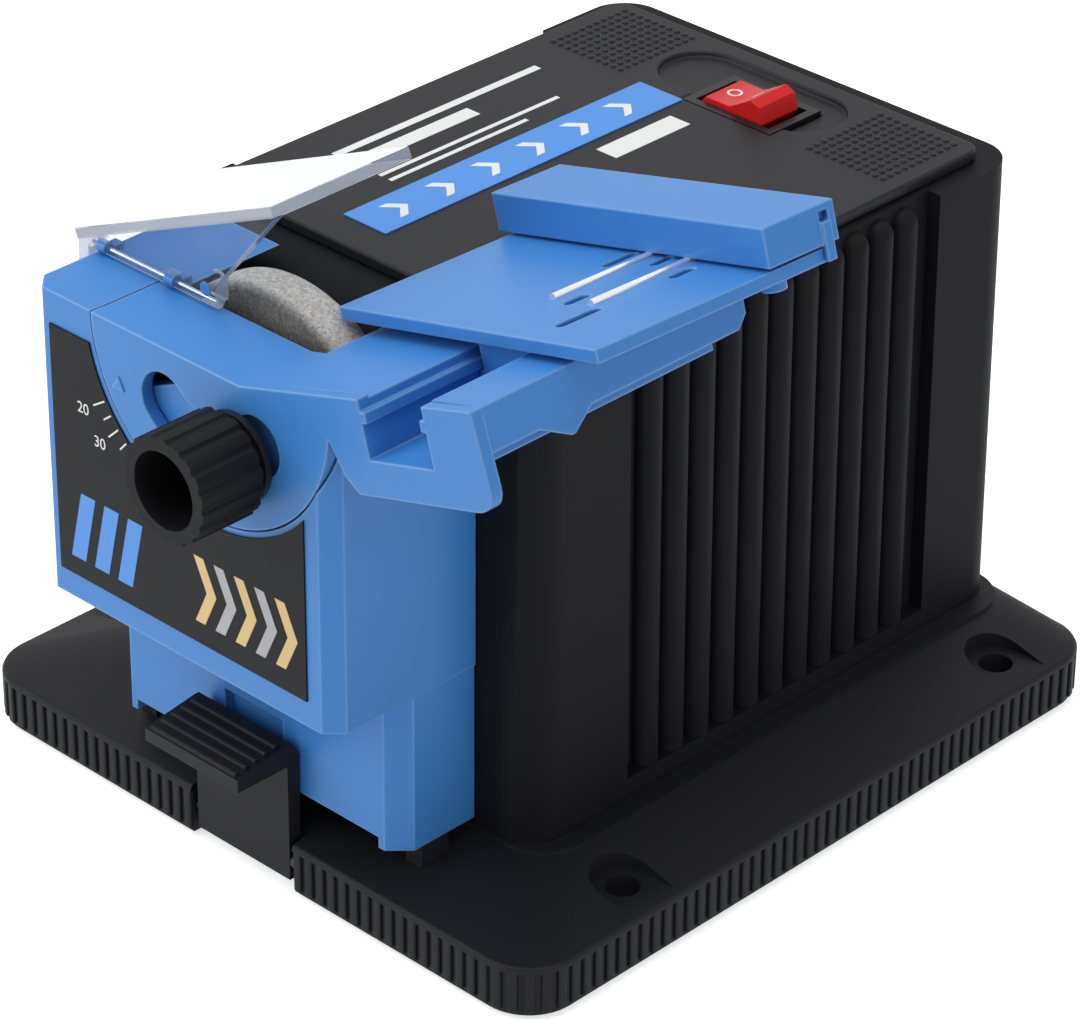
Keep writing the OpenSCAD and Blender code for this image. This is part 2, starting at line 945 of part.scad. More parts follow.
module armature_core() color(steel) raised()
    along_y(0, armature_front, wheel_axis_h)
        difference() {
            post(armature_r, 0, armature_len);
            post(shaft_r + run_gap, -over, armature_len + over);
            for (i = [0 : slot_count - 1])
                rotate([0, 0, i * 360 / slot_count])
                    translate([armature_r, 0, 0])
                        cube([2 * slot_deep, slot_w, 3 * motor_len], center = true);
        }

module armature_windings() color(copper) raised()
    for (y = [armature_front - winding_len, armature_back])
        along_y(0, y, wheel_axis_h)
            difference() {
                post(armature_r - winding_in, 0, winding_len);
                post(shaft_r + winding_gap, -over, winding_len + over);
            }

module commutator() color(copper) raised()
    along_y(0, comm_front, wheel_axis_h)
        difference() {
            post(comm_r, 0, comm_len);
            post(shaft_r + run_gap, -over, comm_len + over);
        }

module carbon_brushes() color(rubber) raised()
    for (sx = [-1, 1])
        translate([sx * (comm_r + rest_gap + brush_len / 2), comm_front + comm_len / 2, wheel_axis_h])
            cube([brush_len, brush_w, brush_h], center = true);

module motor_shaft() color(steel) raised()
    along_y(0, shaft_front, wheel_axis_h)
        post(shaft_r, 0, shaft_back - shaft_front);

module cooling_fan() color(dark) raised()
    along_y(0, fan_front, wheel_axis_h)
        difference() {
            union() {
                post(shaft_r + fan_hub, 0, fan_len);
                for (i = [0 : blade_count - 1])
                    rotate([0, 0, i * 360 / blade_count])
                        block([shaft_r + fan_hub / 2, -blade_t / 2, 0],
                            [can_inner_r - blade_gap, blade_t / 2, fan_len]);
            }
            post(shaft_r + run_gap, -over, fan_len + over);
        }

module motor_cradle() color(dark) raised()
    difference() {
        union() {
            block([-saddle_half, saddle_front - saddle_w / 2 - cradle_lap, plinth_h],
                [saddle_half, saddle_back + saddle_w / 2 + cradle_lap, plinth_h + cradle_t]);
            for (y = [saddle_front, saddle_back])
                block([-saddle_half, y - saddle_w / 2, plinth_h],
                    [saddle_half, y + saddle_w / 2, saddle_top]);
        }
        along_y(0, motor_front - over, wheel_axis_h)
            cylinder(r = motor_r + run_gap, h = motor_len + 2 * over);
        at_saddle_screws()
            post(case_screw_d / 2 + run_gap, plinth_h - over, base_floor + case_screw_len + over);
        at_strap_screws()
            post(strap_screw_d / 2 + run_gap, saddle_top - strap_screw_len - over, saddle_top + over);
    }

module motor_straps() color(steel) raised()
    difference() {
        for (y = [saddle_front, saddle_back]) {
            intersection() {
                along_y(0, y - strap_w / 2, wheel_axis_h)
                    cylinder(r = motor_r + run_gap + strap_t, h = strap_w);
                block([-motor_d, y - strap_w, saddle_top], [motor_d, y + strap_w, wheel_axis_h + motor_d]);
            }
            block([-saddle_half, y - strap_w / 2, saddle_top],
                [saddle_half, y + strap_w / 2, saddle_top + strap_t]);
        }
        along_y(0, motor_front, wheel_axis_h)
            cylinder(r = motor_r + run_gap, h = motor_len);
        at_strap_screws()
            post(strap_screw_d / 2 + run_gap, saddle_top - over, saddle_top + strap_t + over);
    }

module strap_screws() color(steel) raised()
    at_strap_screws() {
        post(strap_head_d / 2, saddle_top + strap_t, saddle_top + strap_t + strap_head_h);
        post(strap_screw_d / 2, saddle_top + strap_t - strap_screw_len, saddle_top + strap_t + eps);
    }

module rectifier_board() color([0.2, 0.45, 0.3]) raised() {
    board_top = plinth_h + post_h + board_t;
    block([-board_w / 2, board_y, plinth_h + post_h], [board_w / 2, board_y + board_d, board_top]);
    for (sx = [-1, 1])
        for (y = [board_y + post_in, board_y + board_d - post_in])
            translate([sx * (board_w / 2 - post_in), y, 0])
                post(post_d / 2, plinth_h, plinth_h + post_h + eps);
    translate([bridge_x, board_y + board_d / 2 - bridge_d / 2, board_top - eps])
        cube([bridge_w, bridge_d, bridge_h]);
}

module filter_capacitor() color([0.15, 0.2, 0.35]) raised()
    translate([capacitor_x, board_y + board_d / 2, plinth_h + post_h + board_t])
        cylinder(d = capacitor_d, h = capacitor_len);

module inner_flange() color(steel) raised()
    along_y(0, wheel_back, wheel_axis_h)
        difference() {
            union() {
                post(flange_r, 0, flange_t);
                post(arbor_r, clamp_y - wheel_back + arbor_gap, eps);
            }
            post(shaft_r + run_gap, -wheel_t, flange_t + over);
        }

module grinding_wheel() color([0.6, 0.58, 0.56]) raised()
    along_y(0, wheel_front, wheel_axis_h)
        rotate_extrude($fn = 96)
            polygon([[arbor_r + run_gap, wheel_recess], [recess_r, wheel_recess], [recess_r, 0],
                [wheel_r - wheel_edge, 0], [wheel_r, wheel_edge], [wheel_r, wheel_t - wheel_edge],
                [wheel_r - wheel_edge, wheel_t], [arbor_r + run_gap, wheel_t]]);

module outer_flange() color(steel) raised()
    along_y(0, clamp_y - flange_t, wheel_axis_h)
        difference() {
            post(flange_r, 0, flange_t);
            post(shaft_r + run_gap, -over, flange_t + over);
        }

module wheel_nut() color(steel) raised()
    along_y(0, clamp_y - flange_t - nut_t, wheel_axis_h)
        difference() {
            cylinder(d = nut_flats / cos(30), h = nut_t, $fn = 6);
            post(shaft_r + run_gap, -over, nut_t + over);
        }

// Plan outline of the attachment with chamfered front corners
module attach_plan(half, front, back, chamfer) {
    polygon([[-half, back], [-half, front + chamfer], [-half + chamfer, front], [half - chamfer, front],
        [half, front + chamfer], [half, back]]);
}

// Outer shell of the attachment, open at the back, at the top and below
module attach_shell() {
    difference() {
        union() {
            translate([0, 0, attach_bottom])
                linear_extrude(body_top - attach_bottom)
                    attach_plan(attach_half, attach_front, attach_back, attach_chamfer);
            translate([0, 0, foot_bottom])
                linear_extrude(attach_bottom - foot_bottom + eps)
                    attach_plan(foot_half, foot_front, attach_back, foot_chamfer);
        }
        translate([0, 0, attach_bottom + attach_wall])
            linear_extrude(body_top)
                attach_plan(attach_half - attach_wall, attach_front + front_t, attach_back + over,
                    attach_chamfer);
        translate([0, 0, foot_bottom - over])
            linear_extrude(attach_bottom)
                attach_plan(foot_half - attach_wall, foot_front + attach_wall, attach_back + over,
                    foot_chamfer_in);
        block([-foot_half + foot_post, foot_front - over, foot_bottom - over],
            [foot_half - foot_post, foot_front + attach_wall + over, foot_bottom + foot_notch]);
    }
}

// Room swept by the deck strip of the rest on its way down, in the front view
module strip_room() {
    low = deck_h - deck_t - tilt_room;
    translate([-2 * attach_w, low])
        square([4 * attach_w, body_top]);
    translate([pivot_x, pivot_h])
        rotate(tilt_range)
            translate([-2 * attach_w, low - pivot_h])
                square([2 * attach_w, attach_w]);
}

// Lugs that carry the guard, with the bore for its pin
module guard_lugs() {
    for (x = lug_x)
        difference() {
            union() {
                block([x, hinge_y, body_top + lug_arm_gap], [x + lug_w, hinge_y + lug_arm, hinge_h]);
                block([x, strip_back + slide_gap, body_top - body_top_t / 2],
                    [x + lug_w, hinge_y + lug_arm, hinge_h]);
                along_x(x, hinge_y, hinge_h)
                    cylinder(r = lug_r, h = lug_w);
            }
            along_x(x - over, hinge_y, hinge_h)
                cylinder(r = guard_pin_r + eps, h = lug_w + 2 * over);
        }
}

// Top of the attachment to the left of the wheel
module body_roof() {
    low = body_top - body_top_t;
    side = strip_left - slide_gap;
    tail = attach_back + body_tail;
    difference() {
        union() {
            block([-attach_half + attach_wall / 2, attach_front + front_t - eps, low],
                [side, tail, body_top]);
            block([side - eps, strip_back + slide_gap, low], [horn_x, tail, body_top]);
        }
        along_y(0, attach_front, wheel_axis_h)
            cylinder(r = wheel_r + wheel_room, h = tail - attach_front + over, $fn = 96);
    }
}

module attachment_body() color(blue) raised()
    difference() {
        union() {
            difference() {
                attach_shell();
                front_view(attach_front - over, front_t + over)
                    translate([pivot_x, pivot_h])
                        circle(arc_r, $fn = 96);
                block([strip_left - slide_gap, attach_front - over, deck_h - deck_t - tilt_room],
                    [attach_half + over, attach_back + over, body_top + over]);
            }
            front_view(attach_front + front_t - eps, web_t)
                difference() {
                    intersection() {
                        translate([pivot_x, pivot_h])
                            circle(arc_r + web_lap, $fn = 96);
                        translate([-attach_half + attach_wall / 2, attach_bottom])
                            square([2 * attach_half - attach_wall, body_top]);
                    }
                    strip_room();
                }
            body_roof();
            guard_lugs();
        }
        along_y(bolt_x, attach_front, bolt_h)
            cylinder(r = bolt_r + run_gap, h = front_t + web_t + over);
        block([-groove_half, foot_front - over, foot_bottom - over],
            [groove_half, foot_front + groove_deep, groove_top]);
    }

module front_label() color(black) raised()
    front_view(attach_front - label_t, label_t)
        difference() {
            polygon([[label_left, label_low], [label_right, label_low], [label_right, label_side],
                [label_slant_x, label_top], [label_left, label_top]]);
            translate([pivot_x, pivot_h])
                circle(arc_r + label_gap, $fn = 96);
        }

// Puts a front view outline that is drawn in deck coordinates onto the deck line
module deck_view() {
    translate([fold_x, deck_h])
        rotate(rest_tilt)
            children();
}

// Points of a rounded corner from a to b, with the sharp corner at c
function corner_arc(a, c, b) =
    [for (t = [0 : 0.125 : 1]) (1 - t) * (1 - t) * a + 2 * t * (1 - t) * c + t * t * b];

// Front view outline of the tilting front plate
module rest_face() {
    intersection() {
        translate([pivot_x, pivot_h])
            circle(rest_r, $fn = 96);
        translate([-attach_w, 0])
            square([2 * attach_w, deck_h]);
    }
    deck_view()
        polygon(concat([[0, 0], [rail_wall_u, rail_top]],
            corner_arc([flange_end, flange_side], [flange_end, flange_low],
                [flange_end - flange_round, flange_low]),
            [[channel_u - flange_toe, flange_low],
                [channel_u - flange_bend[0], flange_low + flange_bend[1]],
                [channel_u - flange_heel[0], flange_low + flange_heel[1]], [0, -deck_t]]));
}

// Front view outline of the channel between its lips
module channel_face() {
    deck_view()
        difference() {
            translate([channel_u, channel_floor])
                square([channel_w, -2 * channel_floor]);
            for (u = [channel_u - over, channel_end - lip_reach])
                translate([u, lip_low])
                    square([lip_reach + over, lip_high - lip_low]);
        }
}

// Arc slot around the pivot in the front view
module arc_slot() {
    middle = (slot_start + slot_end) / 2;
    translate([pivot_x, pivot_h]) {
        intersection() {
            difference() {
                circle(slot_r + slot_half, $fn = 96);
                circle(slot_r - slot_half, $fn = 96);
            }
            polygon([[0, 0], 3 * slot_r * [cos(slot_start), sin(slot_start)],
                5 * slot_r * [cos(middle), sin(middle)], 3 * slot_r * [cos(slot_end), sin(slot_end)]]);
        }
        for (a = [slot_start, slot_end])
            translate(slot_r * [cos(a), sin(a)])
                circle(slot_half, $fn = 32);
    }
}

// Right wall of the rail with the nub on its lower edge
module rail_wall(front) {
    translate([rail_wall_u - channel_t, 0, 0])
        rotate([90, 0, 90])
            linear_extrude(channel_t)
                polygon([[front, rail_top], [front, rail_wall_low], [rail_nub_front, rail_wall_low],
                    [rail_nub_front + rail_nub_ramp, rail_nub_low],
                    [rail_nub_back - rail_nub_heel, rail_nub_low], [rail_nub_back, rail_wall_low],
                    [rail_back - rail_toe, rail_wall_low], [rail_back, rail_wall_low + rail_toe],
                    [rail_back, rail_top]]);
}

module tilting_rest() color(blue) raised() {
    rail_front = attach_front + rest_front_t - eps;
    floor_low = channel_floor - channel_t;
    front_view(attach_front, rest_front_t)
        difference() {
            rest_face();
            arc_slot();
            channel_face();
        }
    block([strip_left, attach_front, deck_h - deck_t], [fold_x + slide_gap, strip_back, deck_h]);
    on_deck() {
        block([-slide_gap, attach_front, -deck_t], [channel_u, strip_back, 0]);
        block([wheel_side_u, attach_front, -deck_t], [channel_u, deck_clear_y, 0]);
        block([channel_u - channel_t, rail_front, floor_low], [channel_u, deck_clear_y, 0]);
        block([channel_u - channel_t, rail_front, floor_low],
            [channel_end + channel_t, deck_clear_y, channel_floor]);
        block([rail_clear_u, rail_front, floor_low], [channel_end + channel_t, rail_back, channel_floor]);
        block([channel_end, rail_front, floor_low], [channel_end + channel_t, rail_back, rail_top]);
        block([channel_end, rail_front, rail_top - channel_t], [rail_wall_u, rail_back, rail_top]);
        rail_wall(rail_front);
        block([channel_u - eps, rail_front, lip_low], [channel_u + lip_reach, deck_clear_y, lip_high]);
        block([channel_end - lip_reach, rail_front, lip_low], [channel_end + eps, rail_back, lip_high]);
    }
}

module clamp_bolt() color(steel) raised()
    along_y(bolt_x, knob_front + bolt_set, bolt_h) {
        shank = web_back - knob_front - bolt_set;
        post(bolt_r, 0, shank + eps);
        block([-bolt_head / 2, -bolt_head / 2, shank], [bolt_head / 2, bolt_head / 2, shank + bolt_head_t]);
    }

module clamp_washer() color(steel) raised()
    along_y(bolt_x, attach_front - washer_t, bolt_h)
        difference() {
            post(washer_r, 0, washer_t - run_gap);
            post(bolt_r + run_gap, -over, washer_t + over);
        }

module clamp_knob() color(black) raised()
    along_y(bolt_x, knob_front, bolt_h)
        difference() {
            union() {
                post(knob_r, 0, knob_len - collar_h);
                post(knob_r - collar_in, 0, knob_len);
            }
            for (i = [0 : flute_count - 1])
                rotate([0, 0, i * 360 / flute_count])
                    translate([knob_r + flute_out, 0, -over])
                        cylinder(r = flute_r, h = knob_len + 2 * over, $fn = 16);
            post(knob_r - knob_wall, -over, knob_cup);
            post(bolt_r + run_gap, -over, knob_len + over);
        }

module rod_line(gap, back) {
    for (u = rod_u)
        along_y(u, rod_front, rod_v)
            cylinder(r = rod_r + gap, h = back - rod_front);
}

module carriage() color(blue) raised() {
    lip_room = lip_reach + slide_gap;
    slider_low = channel_floor + rest_gap;
    on_table()
        difference() {
            union() {
                block([table_u, table_front, table_low], [table_end, table_back, table_top]);
                translate([stop_u, stop_y, 0])
                    post(stop_r, table_low - stop_h, table_low + eps);
            }
            rod_line(eps, table_back + over);
            for (s = table_slots)
                slot_cut([s[0], table_front + s[1]], [s[0], table_front + s[2]], table_slot_r,
                    table_low - over, table_top + over);
        }
    on_deck() {
        block([channel_u + slide_gap, slider_front, slider_low],
            [channel_end - slide_gap, slider_back, lip_low - slide_gap]);
        block([channel_u + lip_room, slider_front, slider_low],
            [channel_end - lip_room, slider_back, table_low + eps]);
    }
}

module guide_rods() color(steel) raised()
    on_table()
        rod_line(0, fence_back - fence_wall);

module fence() color(blue) raised()
    on_table()
        difference() {
            union() {
                difference() {
                    block([fence_left, fence_front, fence_low], [fence_right, fence_back, fence_top]);
                    block([fence_left + fence_wall, fence_front + fence_wall, fence_low - over],
                        [fence_right - fence_wall, fence_back - fence_wall, fence_top - fence_wall]);
                }
                block([table_end + slide_gap, tongue_front, tongue_low],
                    [fence_right + tongue_t, tongue_back, tongue_top]);
            }
            block([fence_right - notch_in, tongue_front, tongue_top],
                [fence_right + over, tongue_back, notch_top]);
            rod_line(run_gap, fence_back + over);
        }

// Guard sheet, drawn flat and set to its slope
module guard_sheet() {
    translate([guard_left, 0, sheet_h])
        rotate([0, -guard_slope, 0])
            block([0, guard_front, 0], [guard_len, guard_back, guard_t]);
}

module guard() color([0.8, 0.85, 0.9, 0.4]) raised() {
    right = guard_left + guard_len * cos(guard_slope);
    rise = guard_len * sin(guard_slope);
    ear_right = ear_x + ear_r;
    lap = guard_t / 2;
    difference() {
        union() {
            guard_sheet();
            along_x(guard_left, hinge_y, hinge_h)
                cylinder(r = guard_t / 2, h = ear_right - guard_left);
            front_view(guard_front, guard_t)
                polygon([[guard_left, hinge_h - hinge_lap], [ear_right, hinge_h - hinge_lap],
                    [ear_right, ear_h], [ear_right + brow_x, ear_h + 2 * brow_x], [right, sheet_h + rise],
                    [right - lap * sin(guard_slope), sheet_h + rise + lap * cos(guard_slope)],
                    [guard_left, sheet_h + lap]]);
            block([guard_left, guard_front, side_ear_low],
                [guard_left + side_ear_w, guard_front + side_ear_d, sheet_h + lap]);
            front_view(guard_front, guard_t + ear_proud) {
                translate([ear_x, ear_h])
                    circle(ear_r);
                translate([ear_x - ear_r, hinge_h])
                    square([2 * ear_r, ear_h - hinge_h]);
            }
        }
        along_x(pin_left, hinge_y, hinge_h)
            cylinder(r = guard_pin_r + run_gap, h = pin_right - pin_left);
        for (x = lug_x)
            block([x - guard_gap, guard_front - over, hinge_h - guard_t],
                [x + lug_w + guard_gap, guard_front + 2 * guard_t, hinge_h + lug_r + guard_gap]);
    }
}

module guard_pin() color(steel) raised()
    along_x(pin_left + rest_gap, hinge_y, hinge_h)
        cylinder(r = guard_pin_r, h = pin_right - pin_left - 2 * rest_gap);

module latch() color(black) raised()
    difference() {
        union() {
            translate([-latch_w / 2, 0, 0])
                rotate([90, 0, 90])
                    linear_extrude(latch_w)
                        polygon([[latch_back, latch_low], [latch_back, latch_top - latch_slope],
                            [latch_back - latch_round, latch_top], [latch_front, latch_top],
                            [latch_front - pad_reach, latch_top - pad_drop],
                            [latch_front - pad_reach, latch_top - pad_drop - pad_t + pad_tip],
                            [latch_front, latch_top - pad_t - 1], [latch_front, latch_low]]);
            block([-nib_half, latch_back - eps, nib_low], [nib_half, foot_front + nib_reach, nib_top]);
            for (i = [0 : pad_ribs - 1]) {
                share = (i + 0.6) / pad_ribs;
                along_x(-latch_w / 2 + pad_side, latch_front - pad_reach * share,
                    latch_top - pad_drop * share)
                    cylinder(r = pad_rib_r, h = latch_w - 2 * pad_side, $fn = 16);
            }
        }
        latch_pin_line(latch_w, run_gap);
    }

module latch_pin() color(steel) raised()
    latch_pin_line(latch_slot / 2 + pin_seat, 0);

module latch_spring() color(steel) raised()
    along_x(latch_w / 2 + rest_gap, latch_pivot_y, latch_pivot_h)
        difference() {
            post(latch_pin_r + spring_wire, 0, latch_gap - 2 * rest_gap);
            post(latch_pin_r + run_gap, -over, latch_gap + over);
        }

base_plate();
rubber_feet();
case_screws();
housing_shell();
top_cover();
top_strip();
switch_frame();
rocker();
switch_terminals();
cord_grommet();
motor_can();
motor_magnets();
armature_core();
armature_windings();
commutator();
motor_shaft();
shaft_bearings();
motor_end_cap();
carbon_brushes();
cooling_fan();
motor_cradle();
motor_straps();
strap_screws();
rectifier_board();
filter_capacitor();
inner_flange();
grinding_wheel();
outer_flange();
wheel_nut();
attachment_body();
front_label();
tilting_rest();
clamp_bolt();
clamp_washer();
clamp_knob();
carriage();
guide_rods();
fence();
guard();
guard_pin();
latch();
latch_pin();
latch_spring();
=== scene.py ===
"""Looks of the electric bench sharpener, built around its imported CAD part.

Every sub-assembly is a class with a build and a dress step. Lengths are given in millimetres
in the row's frame (+X right, +Y back, +Z up, feet on z = 0) and become metres in Blender.
"""
import logging
import math
from dataclasses import dataclass, field
from enum import Enum
from typing import Callable, Sequence

import bmesh
import bpy
from mathutils import Matrix, Vector


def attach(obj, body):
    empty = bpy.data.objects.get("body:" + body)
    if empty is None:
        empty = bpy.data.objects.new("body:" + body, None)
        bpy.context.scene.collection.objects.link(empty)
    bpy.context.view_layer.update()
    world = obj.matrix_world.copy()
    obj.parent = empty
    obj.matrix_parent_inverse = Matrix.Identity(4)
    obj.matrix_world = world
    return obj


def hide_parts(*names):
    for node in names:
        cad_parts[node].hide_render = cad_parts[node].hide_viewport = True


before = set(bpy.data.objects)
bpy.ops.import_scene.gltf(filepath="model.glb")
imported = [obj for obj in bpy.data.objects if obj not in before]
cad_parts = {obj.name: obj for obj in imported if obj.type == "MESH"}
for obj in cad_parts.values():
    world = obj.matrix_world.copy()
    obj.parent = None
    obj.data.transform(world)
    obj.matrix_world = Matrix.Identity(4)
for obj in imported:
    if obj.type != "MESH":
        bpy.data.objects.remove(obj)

log = logging.getLogger("sharpener")

MM = 0.001
WHITE = (1.0, 1.0, 1.0, 1.0)

# Sockets of a Mix node for colours, which share their names with those for other values.
MIX_A, MIX_B, MIX_OUT = 6, 7, 2
# Size of the soft clouds in a colour, and height of a grain.
CLOUD_SIZE, GRAIN_HEIGHT = 18.0, 0.08
# How far the grain swings the roughness, and the least roughness.
ROUGH_SWING, ROUGH_LEAST = 0.06, 0.02
# Cosine of the turn towards an edge at which the painted edge highlight starts and at which it is full.
HIGHLIGHT_STARTS, HIGHLIGHT_FULL = 0.995, 0.9
EDGE_SAMPLES = 6
# Points of a CAD mesh that are closer than this are one point, faces flatter than this one face.
WELD, FLAT_DEGREES = 0.004, 0.6
# How much large faces count in the smooth normals, up to 100.
FACE_WEIGHT = 80
# Sides and rings of a grip dot, its flattening and its smoothing angle.
DOT_SIDES, DOT_RINGS, DOT_FLAT, DOT_SMOOTH = 10, 6, (1.0, 1.0, 0.5), 60.0
# Thickness of printed ink and of the numerals, and font size for one millimetre of height.
INK_T, NUMERAL_T, FONT_SIZE = 0.05, 0.06, 1.4
# Front of the attachment, axis of the tilting rest as x and z, and front face of the wheel.
ATTACHMENT_FRONT = -86.35
TILT_AXIS = (7.1, 100.7)
WHEEL_FRONT = -67.65

Point2 = tuple[float, float]
Point3 = tuple[float, float, float]
Box2 = tuple[float, float, float, float]
Tree = bpy.types.NodeTree
Node = bpy.types.Node
Socket = bpy.types.NodeSocket
Mesh = bpy.types.Mesh
Piece = bpy.types.Object
Solid = bmesh.types.BMesh


class Grain(Enum):
    """Surface grain of a moulded or cut material, with its size in millimetres and its bump depth.

    The real grains of plastic and stone are about 0.1 and 0.25 mm. They are drawn coarser, so that
    they show in a picture of the whole object.
    """

    SPARK = (0.42, 0.22)
    SATIN = (0.30, 0.06)
    GLOSS = (2.50, 0.02)
    STONE = (0.45, 0.85)
    METAL = (0.25, 0.08)

    @property
    def size_mm(self) -> float:
        """Grain size in millimetres."""
        return self.value[0]

    @property
    def depth(self) -> float:
        """Strength of the bump, from 0 to 1."""
        return self.value[1]


def linear(code: str) -> tuple[float, ...]:
    """Turns an sRGB hex code such as "#3f7fd0" into linear red, green, blue and full alpha."""
    parts = [int(code[i : i + 2], 16) / 255 for i in (1, 3, 5)]
    return tuple(c / 12.92 if c <= 0.04045 else ((c + 0.055) / 1.055) ** 2.4 for c in parts) + (1.0,)


def add_node(tree: Tree, kind: str, inputs: dict | None = None, **props) -> Node:
    """Adds one node to a tree.

    Args:
        tree: Node tree of a material, world or geometry group.
        kind: Node type name.
        inputs: By input name or index, a value, a socket, or a node that gives its first live output.
        **props: Node properties.

    Returns:
        The new node.
    """
    node = tree.nodes.new(kind)
    for key, value in props.items():
        setattr(node, key, value)
    for key, value in (inputs or {}).items():
        if isinstance(value, Node):
            value = next(socket for socket in value.outputs if socket.enabled)
        if isinstance(value, Socket):
            tree.links.new(value, node.inputs[key])
        else:
            node.inputs[key].default_value = value
    return node


def shown_white(tree: Tree) -> Node:
    """Adds the nodes that tell the rays which show the background from those that only light the object.

    Args:
        tree: Node tree of the world or of the floor's material.

    Returns:
        A node that is 1 for camera rays and for those that metal and clear plastic send on, else 0.
    """
    path = add_node(tree, "ShaderNodeLightPath").outputs
    shown = path["Is Camera Ray"]
    for ray in ("Is Glossy Ray", "Is Transmission Ray"):
        shown = add_node(tree, "ShaderNodeMath", {0: shown, 1: path[ray]}, operation="MAXIMUM")
    return shown


@dataclass(frozen=True)
class Finish:
    """A material as it leaves its process: colour, gloss, grain, edge rounding and painted edge highlight."""

    name: str
    colour: str
    roughness: float
    grain: Grain
    metallic: float = 0.0
    spread: float = 0.06
    specular: float = 0.5
    # Radius of the rounded edges, and the colour and share of the painted pale highlight along them.
    worn_edge: float = 0.0
    worn_colour: str = "#a9d0f7"
    worn_share: float = 0.45

    def material(self) -> bpy.types.Material:
        """Makes the material once and finds it again later.

        Returns:
            The Blender material of this finish.
        """
        found = bpy.data.materials.get(self.name)
        if found:
            return found
        material = bpy.data.materials.new(self.name)
        material.use_nodes = True
        tree = material.node_tree
        tree.nodes.clear()
        place = add_node(tree, "ShaderNodeTexCoord").outputs["Object"]
        add_node(tree, "ShaderNodeOutputMaterial", {"Surface": self.shader(tree, place)})
        return material

    def shader(self, tree: Tree, place: Socket) -> Node:
        """Adds the nodes of the surface.

        Args:
            tree: Node tree of the material.
            place: Point on the piece.

        Returns:
            The node of the shader.
        """
        cloud, grain = (
            add_node(tree, "ShaderNodeTexNoise", {"Vector": place, "Scale": 1 / (size * MM), "Detail": fine})
            for size, fine in ((CLOUD_SIZE, 3.0), (self.grain.size_mm, 2.0))
        )
        shades = (1 - self.spread, 1 + self.spread)
        dark, light = (tuple(min(1.0, c * s) for c in linear(self.colour)[:3]) + (1.0,) for s in shades)
        tones = {"Factor": cloud, MIX_A: dark, MIX_B: light}
        colour = add_node(tree, "ShaderNodeMix", tones, data_type="RGBA")
        least, most = max(ROUGH_LEAST, self.roughness - ROUGH_SWING), self.roughness + ROUGH_SWING
        rough = add_node(tree, "ShaderNodeMapRange", {"Value": grain, "To Min": least, "To Max": most})
        relief = {"Strength": self.grain.depth, "Distance": GRAIN_HEIGHT * MM, "Height": grain}
        # Rounds the edges in the shading and paints a pale highlight along them.
        if self.worn_edge:
            soft = add_node(tree, "ShaderNodeBevel", {"Radius": self.worn_edge * MM}, samples=EDGE_SAMPLES)
            relief["Normal"] = soft
            colour = self.rubbed(tree, colour, soft)
        surface = {
            "Base Color": colour,
            "Roughness": rough,
            "Metallic": self.metallic,
            "Specular IOR Level": self.specular,
            "Normal": add_node(tree, "ShaderNodeBump", relief),
        }
        return add_node(tree, "ShaderNodeBsdfPrincipled", surface)

    def rubbed(self, tree: Tree, colour: Node, soft: Node) -> Node:
        """Adds the nodes that paint a pale highlight along the edges, over the width of their rounding.

        Args:
            tree: Node tree of the material.
            colour: Colour of the flat faces.
            soft: Normal rounded over the edges.

        Returns:
            The node of the colour, with the painted highlight within the rounded width of an edge.
        """
        flat = add_node(tree, "ShaderNodeNewGeometry").outputs["Normal"]
        turn = add_node(tree, "ShaderNodeVectorMath", {0: soft, 1: flat}, operation="DOT_PRODUCT")
        highlight_range = {"Value": turn, "From Min": HIGHLIGHT_STARTS, "From Max": HIGHLIGHT_FULL, "To Max": self.worn_share}
        highlight = add_node(tree, "ShaderNodeMapRange", highlight_range)
        shades = {"Factor": highlight, MIX_A: colour, MIX_B: linear(self.worn_colour)}
        return add_node(tree, "ShaderNodeMix", shades, data_type="RGBA")


@dataclass(frozen=True)
class Stone(Finish):
    """Vitrified grinding stone: light and dark crystals in a grey bond, its front face with painted shade.

    The painted shade fades out over a depth from the front face, in millimetres.
    """

    crystal: float = 0.42
    crystal_shades: Point2 = (0.58, 1.22)
    dust_depth: float = 1.4
    dust_shade: float = 0.34

    def shader(self, tree: Tree, place: Socket) -> Node:
        """Adds the crystals and the painted shade on the front face to the plain surface.

        Args:
            tree: Node tree of the material.
            place: Point on the wheel.

        Returns:
            The node of the shader.
        """
        shader = super().shader(tree, place)
        base = shader.inputs["Base Color"]
        cells = add_node(tree, "ShaderNodeTexVoronoi", {"Vector": place, "Scale": 1 / (self.crystal * MM)})
        dark, light = self.crystal_shades
        shades = {"Value": cells.outputs["Color"], "To Min": dark, "To Max": light}
        speckle = add_node(tree, "ShaderNodeMapRange", shades)
        # Painted shade: darker on the wheel's front face, fading out over a depth behind it.
        fade = {
            "Value": add_node(tree, "ShaderNodeSeparateXYZ", {0: place}).outputs["Y"],
            "From Min": WHEEL_FRONT * MM,
            "From Max": (WHEEL_FRONT + self.dust_depth) * MM,
            "To Min": self.dust_shade,
        }
        painted_shade = add_node(tree, "ShaderNodeMapRange", fade)
        shade = add_node(tree, "ShaderNodeMath", {0: speckle, 1: painted_shade}, operation="MULTIPLY")
        tones = {"Factor": 1.0, MIX_A: base.links[0].from_socket, MIX_B: shade}
        tint = add_node(tree, "ShaderNodeMix", tones, data_type="RGBA", blend_type="MULTIPLY")
        tree.links.new(tint.outputs[MIX_OUT], base)
        return shader


